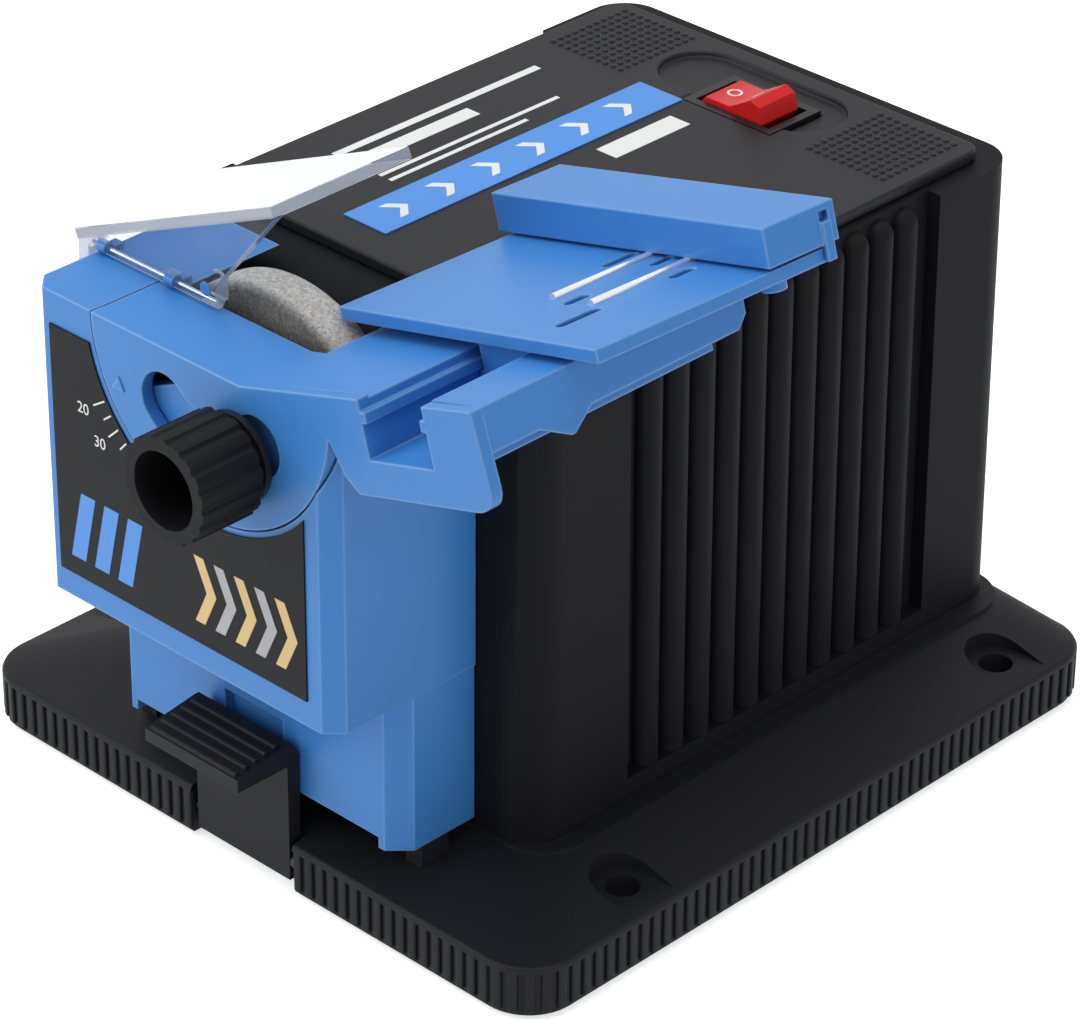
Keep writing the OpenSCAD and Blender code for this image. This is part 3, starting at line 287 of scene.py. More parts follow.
@dataclass(frozen=True)
class LitPaper(Finish):
    """White paper that stays white up to the edge of the picture and keeps the object's shadow."""

    glow: float = 0.62

    def shader(self, tree: Tree, place: Socket) -> Node:
        """Adds the glow to the plain surface.

        Args:
            tree: Node tree of the material.
            place: Point on the floor.

        Returns:
            The node of the shader.
        """
        shader = super().shader(tree, place)
        shader.inputs["Emission Color"].default_value = WHITE
        glow = add_node(tree, "ShaderNodeMath", {0: shown_white(tree), 1: self.glow}, operation="MULTIPLY")
        tree.links.new(glow.outputs["Value"], shader.inputs["Emission Strength"])
        return shader


@dataclass(frozen=True)
class ClearPlastic(Finish):
    """Clear moulded sheet: see-through face on, white at a grazing angle, grey along its cut edge.

    The edge is the band between two planes of the sheet, given by the sheet's slope, its left end
    and its height there, in degrees and millimetres. The ears hang below the sheet at its two ends
    and carry a painted highlight.
    A share is how much of the plastic shows, from 0 to 1. The graze has the least and the most turn
    from the eye, then the shares at the two.
    """

    slope: float = 0.0
    left: float = 0.0
    height: float = 0.0
    sheet_t: float = 2.0
    through: str = "#f3f6f9"
    graze: Box2 = (0.45, 0.8, 0.03, 0.9)
    haze_size: float = 9.0
    haze_share: float = 0.05
    edge_colour: str = "#8c8f98"
    edge_share: float = 0.8
    edge_band: float = 0.42
    edge_tilt: float = 0.5
    left_ear: float = -35.2
    right_ear: float = -9.7
    ear_top: float = 106.2
    ear_tilt: float = 0.7
    ear_share: float = 0.6

    def shader(self, tree: Tree, place: Socket) -> Node:
        """Adds the nodes of the clear sheet.

        Args:
            tree: Node tree of the material.
            place: Point on the sheet.

        Returns:
            The node that mixes the clear and the shining part.
        """
        clouds = {"Vector": place, "Scale": 1 / (self.haze_size * MM), "Detail": 2.0}
        haze = add_node(tree, "ShaderNodeTexNoise", clouds)
        film = add_node(tree, "ShaderNodeMapRange", {"Value": haze, "To Min": 0.0, "To Max": self.haze_share})
        turn = dict(zip(("From Min", "From Max", "To Min", "To Max"), self.graze))
        turn["Value"] = add_node(tree, "ShaderNodeLayerWeight", {"Blend": 0.5}).outputs["Facing"]
        graze = add_node(tree, "ShaderNodeMapRange", turn, interpolation_type="SMOOTHSTEP")
        weight = add_node(tree, "ShaderNodeMath", {0: graze, 1: film}, operation="ADD", use_clamp=True)
        edge = self.edge(tree, place)
        # The ears get a painted highlight, the cut edge its grey.
        for solid in (self.ears(tree, place), edge):
            weight = add_node(tree, "ShaderNodeMath", {0: weight, 1: solid}, operation="MAXIMUM")
        shades = {"Factor": edge, MIX_A: linear(self.colour), MIX_B: linear(self.edge_colour)}
        tone = add_node(tree, "ShaderNodeMix", shades, data_type="RGBA")
        clear = add_node(tree, "ShaderNodeBsdfTransparent", {"Color": linear(self.through)})
        surface = {"Base Color": tone, "Roughness": self.roughness, "Specular IOR Level": self.specular}
        shine = add_node(tree, "ShaderNodeBsdfPrincipled", surface)
        return add_node(tree, "ShaderNodeMixShader", {0: weight, 1: clear, 2: shine})

    def edge(self, tree: Tree, place: Socket) -> Node:
        """Adds the nodes that find the cut edge of the sheet.

        Args:
            tree: Node tree of the material.
            place: Point on the sheet.

        Returns:
            A node with the edge's share on the front edge of the sheet, else 0.
        """
        lean = math.radians(self.slope)
        up = (-math.sin(lean), 0.0, math.cos(lean))
        rise = (self.left * up[0] + self.height * up[2] + self.sheet_t / 2) * MM
        band = self.edge_band * self.sheet_t * MM
        normal = add_node(tree, "ShaderNodeNewGeometry").outputs["Normal"]
        shown = self.edge_share
        for source, middle, reach in ((place, rise, band), (normal, 0.0, self.edge_tilt)):
            level = add_node(tree, "ShaderNodeVectorMath", {0: source, 1: up}, operation="DOT_PRODUCT")
            near = add_node(tree, "ShaderNodeMath", {0: level, 1: middle, 2: reach}, operation="COMPARE")
            shown = add_node(tree, "ShaderNodeMath", {0: near, 1: shown}, operation="MULTIPLY")
        return shown

    def ears(self, tree: Tree, place: Socket) -> Node:
        """Adds the nodes that find the thick ears of the sheet, which get a painted highlight.

        Args:
            tree: Node tree of the material.
            place: Point on the sheet.

        Returns:
            A node with the painted highlight's share on the left ear and the right ear's rim, else 0.
        """
        where = add_node(tree, "ShaderNodeSeparateXYZ", {0: place}).outputs
        normal = add_node(tree, "ShaderNodeNewGeometry").outputs["Normal"]
        facing = add_node(tree, "ShaderNodeSeparateXYZ", {0: normal}).outputs["Y"]
        left, right, low, rim = (
            add_node(tree, "ShaderNodeMath", dict(enumerate(values)), operation=test)
            for test, *values in (
                ("LESS_THAN", where["X"], self.left_ear * MM),
                ("GREATER_THAN", where["X"], self.right_ear * MM),
                ("LESS_THAN", where["Z"], self.ear_top * MM),
                ("COMPARE", facing, 0.0, self.ear_tilt),
            )
        )
        shown = right
        steps = (("MULTIPLY", rim), ("MAXIMUM", left), ("MULTIPLY", low), ("MULTIPLY", self.ear_share))
        for step, other in steps:
            shown = add_node(tree, "ShaderNodeMath", {0: shown, 1: other}, operation=step)
        return shown


# Black ABS with a spark-eroded tool grain: dull, faintly speckled, grey highlights on the edges.
BLACK_ABS = Finish("black_abs_spark_grain", "#1c1c1f", 0.50, Grain.SPARK, specular=0.14)
# The housing from a coarser tool: deeper black, little shine on the upright walls.
BLACK_HOUSING = Finish("black_abs_coarse_grain", "#151518", 0.56, Grain.SPARK, specular=0.08)
# The same black in the smoother cover: a soft grey sheen.
BLACK_SMOOTH = Finish("black_abs_fine_grain", "#202023", 0.44, Grain.SATIN, specular=0.15)
# The knob in a deeper black: its rim stays as dark as its fluted side.
BLACK_KNOB = Finish("black_abs_knob_grain", "#161618", 0.5, Grain.SATIN, specular=0.1)
# Blue ABS from a polished tool: even satin colour, soft highlights, painted pale edge highlights.
BLUE_ABS = Finish(
    "blue_abs_satin_moulded", "#3b7dc2", 0.42, Grain.SATIN, spread=0.03, specular=0.34, worn_edge=0.6
)
# Red polycarbonate rocker: bright and glossy.
RED_GLOSS = Finish("red_polycarbonate_gloss", "#c8201e", 0.28, Grain.GLOSS, spread=0.04, specular=0.14)
# Switch frame in black nylon: half glossy.
SWITCH_BLACK = Finish("black_nylon_semi_gloss", "#19191b", 0.30, Grain.GLOSS, specular=0.2)
# Moulded rubber: dead matt.
RUBBER = Finish("rubber_moulded_matt", "#161616", 0.80, Grain.SPARK, specular=0.2)
# Bright zinc on steel screws and shaft parts: a pale, cool shine.
ZINC = Finish("steel_bright_zinc", "#c3c6ca", 0.28, Grain.METAL, metallic=1.0)
# Ground and polished steel of the guide rods and the guard pin: a thin bright line.
GROUND_STEEL = Finish("steel_ground_polished", "#eceef0", 0.2, Grain.GLOSS, metallic=0.85)
# Blackened steel of the clamp bolt and washer, the latch pin and its spring: almost no shine.
BLACKENED = Finish("steel_blackened", "#2b2c2f", 0.45, Grain.METAL, metallic=0.6)
# Nickel plated motor can: a soft grey shine.
NICKEL = Finish("steel_sheet_nickel", "#9da0a4", 0.32, Grain.METAL, metallic=1.0)
# Stacked armature sheets: dull and dark.
LAMINATION = Finish("steel_lamination_stack", "#77797d", 0.5, Grain.METAL, metallic=1.0)
# Ground ferrite magnets: flat dark grey.
FERRITE = Finish("ferrite_ground", "#2d2d30", 0.6, Grain.SPARK)
# Enamelled copper wire and turned copper: a warm shine.
COPPER = Finish("copper_enamelled", "#b8683a", 0.35, Grain.METAL, metallic=0.9)
# Oiled sintered bronze bearings: dull gold.
BRONZE = Finish("bronze_sintered", "#a88a52", 0.45, Grain.METAL, metallic=0.9)
# Stamped brass terminals: bright yellow.
BRASS = Finish("brass_stamped", "#cda94f", 0.3, Grain.METAL, metallic=1.0)
# Pressed graphite brushes: flat black.
CARBON = Finish("graphite_pressed", "#1b1b1c", 0.55, Grain.SPARK)
# Cream nylon motor end cap: pale and waxy.
CREAM_NYLON = Finish("nylon_cream_moulded", "#d4cfbf", 0.5, Grain.SATIN)
# Dark grey nylon cradle and fan: even and waxy.
GREY_NYLON = Finish("nylon_grey_moulded", "#3a3a3d", 0.5, Grain.SATIN)
# Green solder mask: smooth, half glossy.
BOARD_GREEN = Finish("board_solder_mask", "#2a6a45", 0.4, Grain.GLOSS)
# Shrunk sleeve of the capacitor: glossy dark blue.
SLEEVE = Finish("sleeve_shrunk_film", "#232d58", 0.3, Grain.GLOSS)
# Grey aluminium oxide wheel: rough, speckled light and dark, with painted shade on its front face.
STONE = Stone("aluminium_oxide_vitrified", "#bdb8b2", 0.9, Grain.STONE, spread=0.15, specular=0.2)
# Printed film: smooth black ground and flat inks on it.
FILM_BLACK = Finish("film_black_satin", "#151517", 0.36, Grain.GLOSS, specular=0.1)
INK_WHITE = Finish("ink_white_screen_print", "#dcdcda", 0.5, Grain.SATIN)
INK_BLUE = Finish("ink_blue_screen_print", "#3f86d4", 0.42, Grain.GLOSS)
INK_TAN = Finish("ink_tan_screen_print", "#d3b67a", 0.5, Grain.SATIN, spread=0.12)
INK_GREY = Finish("ink_grey_screen_print", "#a5a6a8", 0.5, Grain.SATIN)
# Clear polycarbonate guard: bright rims, a painted highlight on its ears and a faint haze.
CLEAR_PC = ClearPlastic(
    "polycarbonate_clear_moulded", "#d6d9df", 0.08, Grain.GLOSS, specular=0.6, slope=23.7, left=-37.6,
    height=101.15,
)
# Paper floor of the studio: flat white.
FLOOR = LitPaper("paper_white_matt", "#f4f4f4", 0.85, Grain.SATIN, spread=0.005, specular=0.1)

CAD_FINISHES: dict[str, Finish] = {
    "rubber_feet": RUBBER, "case_screws": ZINC, "switch_frame": SWITCH_BLACK, "switch_terminals": BRASS,
    "cord_grommet": RUBBER, "motor_can": NICKEL, "motor_magnets": FERRITE, "armature_core": LAMINATION,
    "armature_windings": COPPER, "commutator": COPPER, "motor_shaft": ZINC, "shaft_bearings": BRONZE,
    "motor_end_cap": CREAM_NYLON, "carbon_brushes": CARBON, "cooling_fan": GREY_NYLON,
    "motor_cradle": GREY_NYLON, "motor_straps": ZINC, "strap_screws": ZINC, "rectifier_board": BOARD_GREEN,
    "filter_capacitor": SLEEVE, "inner_flange": ZINC, "outer_flange": ZINC, "wheel_nut": ZINC,
    "clamp_bolt": BLACKENED, "clamp_washer": BLACKENED, "guide_rods": GROUND_STEEL, "guard_pin": GROUND_STEEL,
    "latch_pin": BLACKENED, "latch_spring": BLACKENED, "front_label": FILM_BLACK, "top_strip": INK_BLUE,
}


def new_object(name: str, data: bpy.types.ID) -> Piece:
    """Links data into the scene as an object at the origin.

    Args:
        name: Object name.
        data: Its mesh, curve, light or camera.

    Returns:
        The new object.
    """
    thing = bpy.data.objects.new(name, data)
    bpy.context.scene.collection.objects.link(thing)
    return thing


def from_bmesh(name: str, body: Solid) -> Piece:
    """Turns a bmesh in millimetres into an object in metres with outward faces.

    Args:
        name: Name of the object and its mesh.
        body: The bmesh, which is freed.

    Returns:
        The new object.
    """
    bmesh.ops.recalc_face_normals(body, faces=body.faces)
    bmesh.ops.scale(body, vec=(MM, MM, MM), verts=body.verts)
    mesh = bpy.data.meshes.new(name)
    body.to_mesh(mesh)
    body.free()
    return new_object(name, mesh)


def evaluated(thing: Piece) -> Mesh:
    """Makes a plain mesh of a curve, or of an object with its modifiers."""
    graph = bpy.context.evaluated_depsgraph_get()
    return bpy.data.meshes.new_from_object(thing.evaluated_get(graph), depsgraph=graph)


def bake(thing: Piece) -> Piece:
    """Evaluates an object's modifiers into a plain mesh and removes them.

    Args:
        thing: Object with modifiers.

    Returns:
        The same object with a plain mesh.
    """
    mesh = evaluated(thing)
    thing.modifiers.clear()
    old = thing.data
    thing.data = mesh
    bpy.data.meshes.remove(old)
    return thing


def smooth_by_angle(mesh: Mesh, degrees: float) -> None:
    """Shades a mesh smooth, apart from its open edges and those above an angle.

    Args:
        mesh: Mesh to change.
        degrees: Edges sharper than this stay sharp.
    """
    body = bmesh.new()
    body.from_mesh(mesh)
    for face in body.faces:
        face.smooth = True
    for edge in body.edges:
        edge.smooth = len(edge.link_faces) == 2 and edge.calc_face_angle(0.0) < math.radians(degrees)
    body.to_mesh(mesh)
    body.free()


def rounded(thing: Piece, width: float, segments: int = 3, degrees: float = 34.0) -> Piece:
    """Rounds the sharp edges of an object.

    Args:
        thing: Object to change.
        width: Radius of the rounding in millimetres.
        segments: Number of faces across the rounding.
        degrees: Edges sharper than this are rounded.

    Returns:
        The same object with a plain mesh.
    """
    smooth_by_angle(thing.data, degrees)
    bevel = thing.modifiers.new("round", "BEVEL")
    bevel.width = width * MM
    bevel.segments = segments
    bevel.limit_method = "ANGLE"
    bevel.angle_limit = math.radians(degrees)
    bevel.use_clamp_overlap = True
    bevel.harden_normals = False
    normals = thing.modifiers.new("flat faces", "WEIGHTED_NORMAL")
    normals.keep_sharp = False
    normals.weight = FACE_WEIGHT
    return bake(thing)


def softened(
    node: str, width: float, segments: int = 3, shape: Callable[[Vector], Vector] | None = None
) -> Piece:
    """Copies a CAD node as a piece with rounded edges.

    Args:
        node: Name of the CAD node.
        width: Edge radius in millimetres.
        segments: Faces across each rounding.
        shape: Optional change of each point, in millimetres.

    Returns:
        The new object, not yet riding on a body.
    """
    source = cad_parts[node]
    body = bmesh.new()
    body.from_mesh(source.data)
    bmesh.ops.transform(body, matrix=source.matrix_world, verts=body.verts)
    bmesh.ops.scale(body, vec=(1 / MM,) * 3, verts=body.verts)
    bmesh.ops.remove_doubles(body, verts=body.verts, dist=WELD)
    flat = math.radians(FLAT_DEGREES)
    bmesh.ops.dissolve_limit(body, angle_limit=flat, verts=body.verts, edges=body.edges)
    if shape:
        for vert in body.verts:
            vert.co = shape(vert.co)
    return rounded(from_bmesh(f"look_{node}", body), width, segments)


def oblong(x0: float, y0: float, x1: float, y1: float) -> list[Point2]:
    """Corners of a rectangle between two opposite ones."""
    return [(x0, y0), (x1, y0), (x1, y1), (x0, y1)]


def circle(radius: float, sides: int) -> list[Point2]:
    """Points of a circle round the origin."""
    turns = [2 * math.pi * i / sides for i in range(sides)]
    return [(radius * math.cos(a), radius * math.sin(a)) for a in turns]


def quarter(x: float, y: float, radius: float, start: float, steps: int) -> list[Point2]:
    """Points of a quarter circle round a centre, anticlockwise from a start angle in degrees."""
    turns = [math.radians(start + 90 * step / steps) for step in range(steps + 1)]
    return [(x + radius * math.cos(a), y + radius * math.sin(a)) for a in turns]


def plate(outline: Sequence[Point2], depth: float, place: Matrix) -> Solid:
    """A flat outline with a thickness.

    Args:
        outline: Corner points in the plate's own plane.
        depth: Thickness along the plate's +Z.
        place: Where the plate sits, in millimetres.

    Returns:
        The bmesh.
    """
    body = bmesh.new()
    face = body.faces.new([body.verts.new((x, y, 0.0)) for x, y in outline])
    made = bmesh.ops.extrude_face_region(body, geom=[face])
    moved = [item for item in made["geom"] if isinstance(item, bmesh.types.BMVert)]
    bmesh.ops.translate(body, vec=(0, 0, depth), verts=moved)
    bmesh.ops.transform(body, matrix=place, verts=body.verts)
    return body


def lathe(profile: Sequence[Point2], place: Matrix, sides: int = 128) -> Solid:
    """Turns a closed profile about +Z.

    Args:
        profile: Points as radius and height in millimetres.
        place: Where the turned piece sits, in millimetres.
        sides: Number of faces around it.

    Returns:
        The bmesh.
    """
    body = bmesh.new()
    rows = [[body.verts.new((x, y, h)) for x, y in circle(r, sides)] for r, h in profile]
    for a, b in zip(rows, rows[1:] + rows[:1]):
        for i in range(sides):
            body.faces.new((a[i], a[(i + 1) % sides], b[(i + 1) % sides], b[i]))
    bmesh.ops.transform(body, matrix=place, verts=body.verts)
    return body


def joined(name: str, parts: Sequence[tuple[Solid, Finish]]) -> Piece:
    """Joins several bodies into one object that keeps one material per body.

    Args:
        name: Name of the object.
        parts: Bodies in millimetres, which are freed, each with its finish.

    Returns:
        The new object.
    """
    whole = bmesh.new()
    finishes: list[Finish] = []
    for body, finish in parts:
        if finish not in finishes:
            finishes.append(finish)
        for face in body.faces:
            face.material_index = finishes.index(finish)
        scrap = bpy.data.meshes.new("scrap")
        body.to_mesh(scrap)
        body.free()
        whole.from_mesh(scrap)
        bpy.data.meshes.remove(scrap)
    thing = from_bmesh(name, whole)
    for finish in finishes:
        thing.data.materials.append(finish.material())
    return thing


def facing_front(x: float, y: float, z: float, turn: float = 0.0) -> Matrix:
    """Place for a plate seen from the front: its +X is right, +Y is up and its thickness comes forward."""
    upright = Matrix.Rotation(math.radians(90), 4, "X")
    return Matrix.Translation((x, y, z)) @ upright @ Matrix.Rotation(math.radians(turn), 4, "Z")


def numerals(text: str, height: float, place: Matrix) -> Solid:
    """Plain numerals for a scale, centred on their place.

    Args:
        text: The number.
        height: Height of the numerals in millimetres.
        place: Where their middle sits, in millimetres.

    Returns:
        The bmesh.
    """
    curve = bpy.data.curves.new("numerals", "FONT")
    curve.body = text
    curve.size = height * FONT_SIZE
    curve.extrude = NUMERAL_T / 2
    curve.align_x = "CENTER"
    curve.align_y = "CENTER"
    thing = new_object("numerals", curve)
    mesh = evaluated(thing)
    body = bmesh.new()
    body.from_mesh(mesh)
    bmesh.ops.transform(body, matrix=place, verts=body.verts)
    bpy.data.objects.remove(thing)
    bpy.data.curves.remove(curve)
    bpy.data.meshes.remove(mesh)
    return body


def open_group(name: str, sockets: dict[str, str]) -> Tree:
    """Starts a geometry node group that repeats a shape.

    Args:
        name: Name of the group.
        sockets: Type of each input by its name.

    Returns:
        The group with its sockets and no nodes.
    """
    group = bpy.data.node_groups.new(name, "GeometryNodeTree")
    for label, kind in sockets.items():
        group.interface.new_socket(label, in_out="INPUT", socket_type=f"NodeSocket{kind}")
    group.interface.new_socket("Geometry", in_out="OUTPUT", socket_type="NodeSocketGeometry")
    return group


def run_group(group: Tree, copies: Node, thing: Piece, values: dict[str, object]) -> Piece:
    """Ends a group with real faces in their material and runs it on an object.

    Args:
        group: The group.
        copies: Its node that makes the copies.
        thing: Object to change.
        values: Input values by name.

    Returns:
        The same object with a plain mesh.
    """
    material = add_node(group, "NodeGroupInput").outputs["Material"]
    solid = add_node(group, "GeometryNodeRealizeInstances", {"Geometry": copies})
    coat = add_node(group, "GeometryNodeSetMaterial", {"Geometry": solid, "Material": material})
    add_node(group, "NodeGroupOutput", {"Geometry": coat})
    modifier = thing.modifiers.new(group.name, "NODES")
    modifier.node_group = group
    for item in group.interface.items_tree:
        if item.name in values:
            modifier[item.identifier] = values[item.name]
    return bake(thing)


def along_path(name: str, path: Sequence[Point3], unit: Piece, spacing: float, finish: Finish) -> Piece:
    """Repeats a unit along an open path, its +X along the path and its +Z up.

    Args:
        name: Name of the result.
        path: Points in millimetres.
        unit: Object to repeat.
        spacing: Distance between units in millimetres.
        finish: Material of the result.

    Returns:
        The plain mesh object.
    """
    sockets = {"Path": "Geometry", "Unit": "Object", "Spacing": "Float", "Material": "Material"}
    group = open_group("repeat_along_path", sockets)
    start = add_node(group, "NodeGroupInput").outputs
    curve = add_node(group, "GeometryNodeMeshToCurve", {"Mesh": start["Path"]})
    steps = {"Curve": curve, "Length": start["Spacing"]}
    even = add_node(group, "GeometryNodeResampleCurve", steps, mode="LENGTH")
    along = {"Vector": add_node(group, "GeometryNodeInputTangent")}
    turn = add_node(group, "FunctionNodeAlignRotationToVector", along, axis="X", pivot_axis="Z")
    shape = add_node(group, "GeometryNodeObjectInfo", {"Object": start["Unit"]}).outputs["Geometry"]
    row = {"Points": even, "Instance": shape, "Rotation": turn}
    copies = add_node(group, "GeometryNodeInstanceOnPoints", row)
    mesh = bpy.data.meshes.new(name)
    points = [tuple(v * MM for v in p) for p in path]
    mesh.from_pydata(points, [(i, i + 1) for i in range(len(points) - 1)], [])
    values = {"Unit": unit, "Spacing": spacing * MM, "Material": finish.material()}
    return run_group(group, copies, new_object(name, mesh), values)


def over_field(
    name: str, middle: Point3, size: Point2, pitch: float, radius: float, finish: Finish
) -> Piece:
    """Covers a flat field with low round dots.

    Args:
        name: Name of the result.
        middle: Centre of the field in millimetres.
        size: Width and depth of the field in millimetres.
        pitch: Distance between dots in millimetres.
        radius: Dot radius in millimetres.
        finish: Material of the dots.

    Returns:
        The plain mesh object.
    """
    sockets = {"Base": "Geometry", "Centre": "Vector", "Radius": "Float", "Material": "Material"}
    sizes = {"Size X": "Float", "Size Y": "Float", "Vertices X": "Int", "Vertices Y": "Int"}
    group = open_group("dots_over_field", sockets | sizes)
    start = add_node(group, "NodeGroupInput").outputs
    grid = add_node(group, "GeometryNodeMeshGrid", {label: start[label] for label in sizes})
    put = add_node(group, "GeometryNodeTransform", {"Geometry": grid, "Translation": start["Centre"]})
    ball = {"Segments": DOT_SIDES, "Rings": DOT_RINGS, "Radius": start["Radius"]}
    dot = add_node(group, "GeometryNodeMeshUVSphere", ball)
    rows = {"Points": put, "Instance": dot, "Scale": DOT_FLAT}
    copies = add_node(group, "GeometryNodeInstanceOnPoints", rows)
    values = {"Centre": tuple(v * MM for v in middle), "Radius": radius * MM, "Material": finish.material()}
    for axis, length in zip("XY", size):
        values[f"Size {axis}"] = length * MM
        values[f"Vertices {axis}"] = round(length / pitch) + 1
    thing = run_group(group, copies, new_object(name, bpy.data.meshes.new(name)), values)
    smooth_by_angle(thing.data, DOT_SMOOTH)
    return thing


@dataclass
class Assembly:
    """A sub-assembly: it builds its pieces, then dresses them."""

    pieces: list[Piece] = field(default_factory=list)

    def keep(
        self, thing: Piece, body: str, finish: Finish | None, slot: str, replaces: Sequence[str] = ()
    ) -> None:
        """Registers a piece and logs it.

        Args:
            thing: The piece.
            body: Body that it rides on.
            finish: Its material, or None where it has its own.
            slot: Name of its colour slot; not used.
            replaces: CAD nodes that it stands for.
        """
        if finish:
            thing.data.materials.clear()
            thing.data.materials.append(finish.material())
        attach(thing, body)
        if replaces:
            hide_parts(*replaces)
        self.pieces.append(thing)
        log.info("%s rides on %s", thing.name, body)

    def build(self) -> None:
        """Makes the pieces."""

    def dress(self) -> None:
        """Adds surface detail after all pieces exist."""
        log.info("%s: %d pieces", type(self).__name__, len(self.pieces))


@dataclass
class Base(Assembly):
    """Flared base plate with its ribbed rim and the latch in front.

    The lip's section gives how far out from the rim and how high over its top each corner is.
    """

    half_w: float = 65.5
    front: float = -75.35
    back: float = 65.05
    corner: float = 9.0
    corner_steps: int = 12
    rim_top: float = 10.3
    slot_half: float = 12.2
    lip: tuple[Point2, ...] = ((-0.3, -1.5), (0.55, -1.2), (0.55, -0.7), (0.25, -0.15), (-0.3, 0.02))
    lip_smooth: float = 50.0
    rib_pitch: float = 2.65
    rib_depth: float = 0.55
    rib_half: float = 0.82
    rib_root: float = 0.2
    rib_low: float = 1.5
    rib_high: float = 9.3
    rib_round: float = 0.3
    rib_gap: float = 13.2

    def build(self) -> None:
        """Makes the plate, its rim lip, the rim ribs and the latch."""
        self.keep(softened("base_plate", 0.7), "base", BLACK_ABS, "black_abs", ["base_plate"])
        self.keep(self.rim_lip(), "base", BLACK_ABS, "black_abs")
        self.keep(self.rim_ribs(), "base", BLACK_ABS, "black_abs")
        self.keep(softened("latch", 0.45), "latch_lever", BLACK_ABS, "black_abs", ["latch"])

    def rim_path(self, gap: float, z: float) -> list[Point3]:
        """Follows the rim from one side of the latch round to the other.

        Args:
            gap: Half the width of the gap for the latch.
            z: Height of the path.

        Returns:
            The points of the path.
        """
        right, near, far = self.half_w - self.corner, self.front + self.corner, self.back - self.corner
        path: list[Point2] = [(gap, self.front)]
        for x, y, start in ((right, near, -90), (right, far, 0), (-right, far, 90), (-right, near, 180)):
            path += quarter(x, y, self.corner, start, self.corner_steps)
        path.append((-gap, self.front))
        return [(x, y, z) for x, y in path]

    def rim_lip(self) -> Piece:
        """Sweeps the smooth lip along the top of the rim, flush with the ribs.

        Returns:
            The lip.
        """
        path = [Vector(point) for point in self.rim_path(self.slot_half, self.rim_top)]
        body = bmesh.new()
        rows = []
        for i, here in enumerate(path):
            along = (path[min(len(path) - 1, i + 1)] - path[max(0, i - 1)]).normalized()
            out = Vector((along.y, -along.x, 0))
            rows.append([body.verts.new(here + out * reach + Vector((0, 0, z))) for reach, z in self.lip])
        for a, b in zip(rows, rows[1:]):
            for i in range(len(a)):
                j = (i + 1) % len(a)
                body.faces.new((a[i], b[i], b[j], a[j]))
        body.faces.new(rows[0])
        body.faces.new(rows[-1][::-1])
        thing = from_bmesh("rim_lip", body)
        smooth_by_angle(thing.data, self.lip_smooth)
        return thing

    def rim_ribs(self) -> Piece:
        """Repeats an upright rib around the rim.

        Returns:
            All the ribs.
        """
        outline = oblong(-self.rib_half, -self.rib_depth, self.rib_half, self.rib_root)
        rib = plate(outline, self.rib_high - self.rib_low, Matrix.Translation((0, 0, self.rib_low)))
        unit = rounded(from_bmesh("rim_rib_unit", rib), self.rib_round, 2)
        made = along_path("rim_ribs", self.rim_path(self.rib_gap, 0.0), unit, self.rib_pitch, BLACK_ABS)
        bpy.data.objects.remove(unit)
        return made


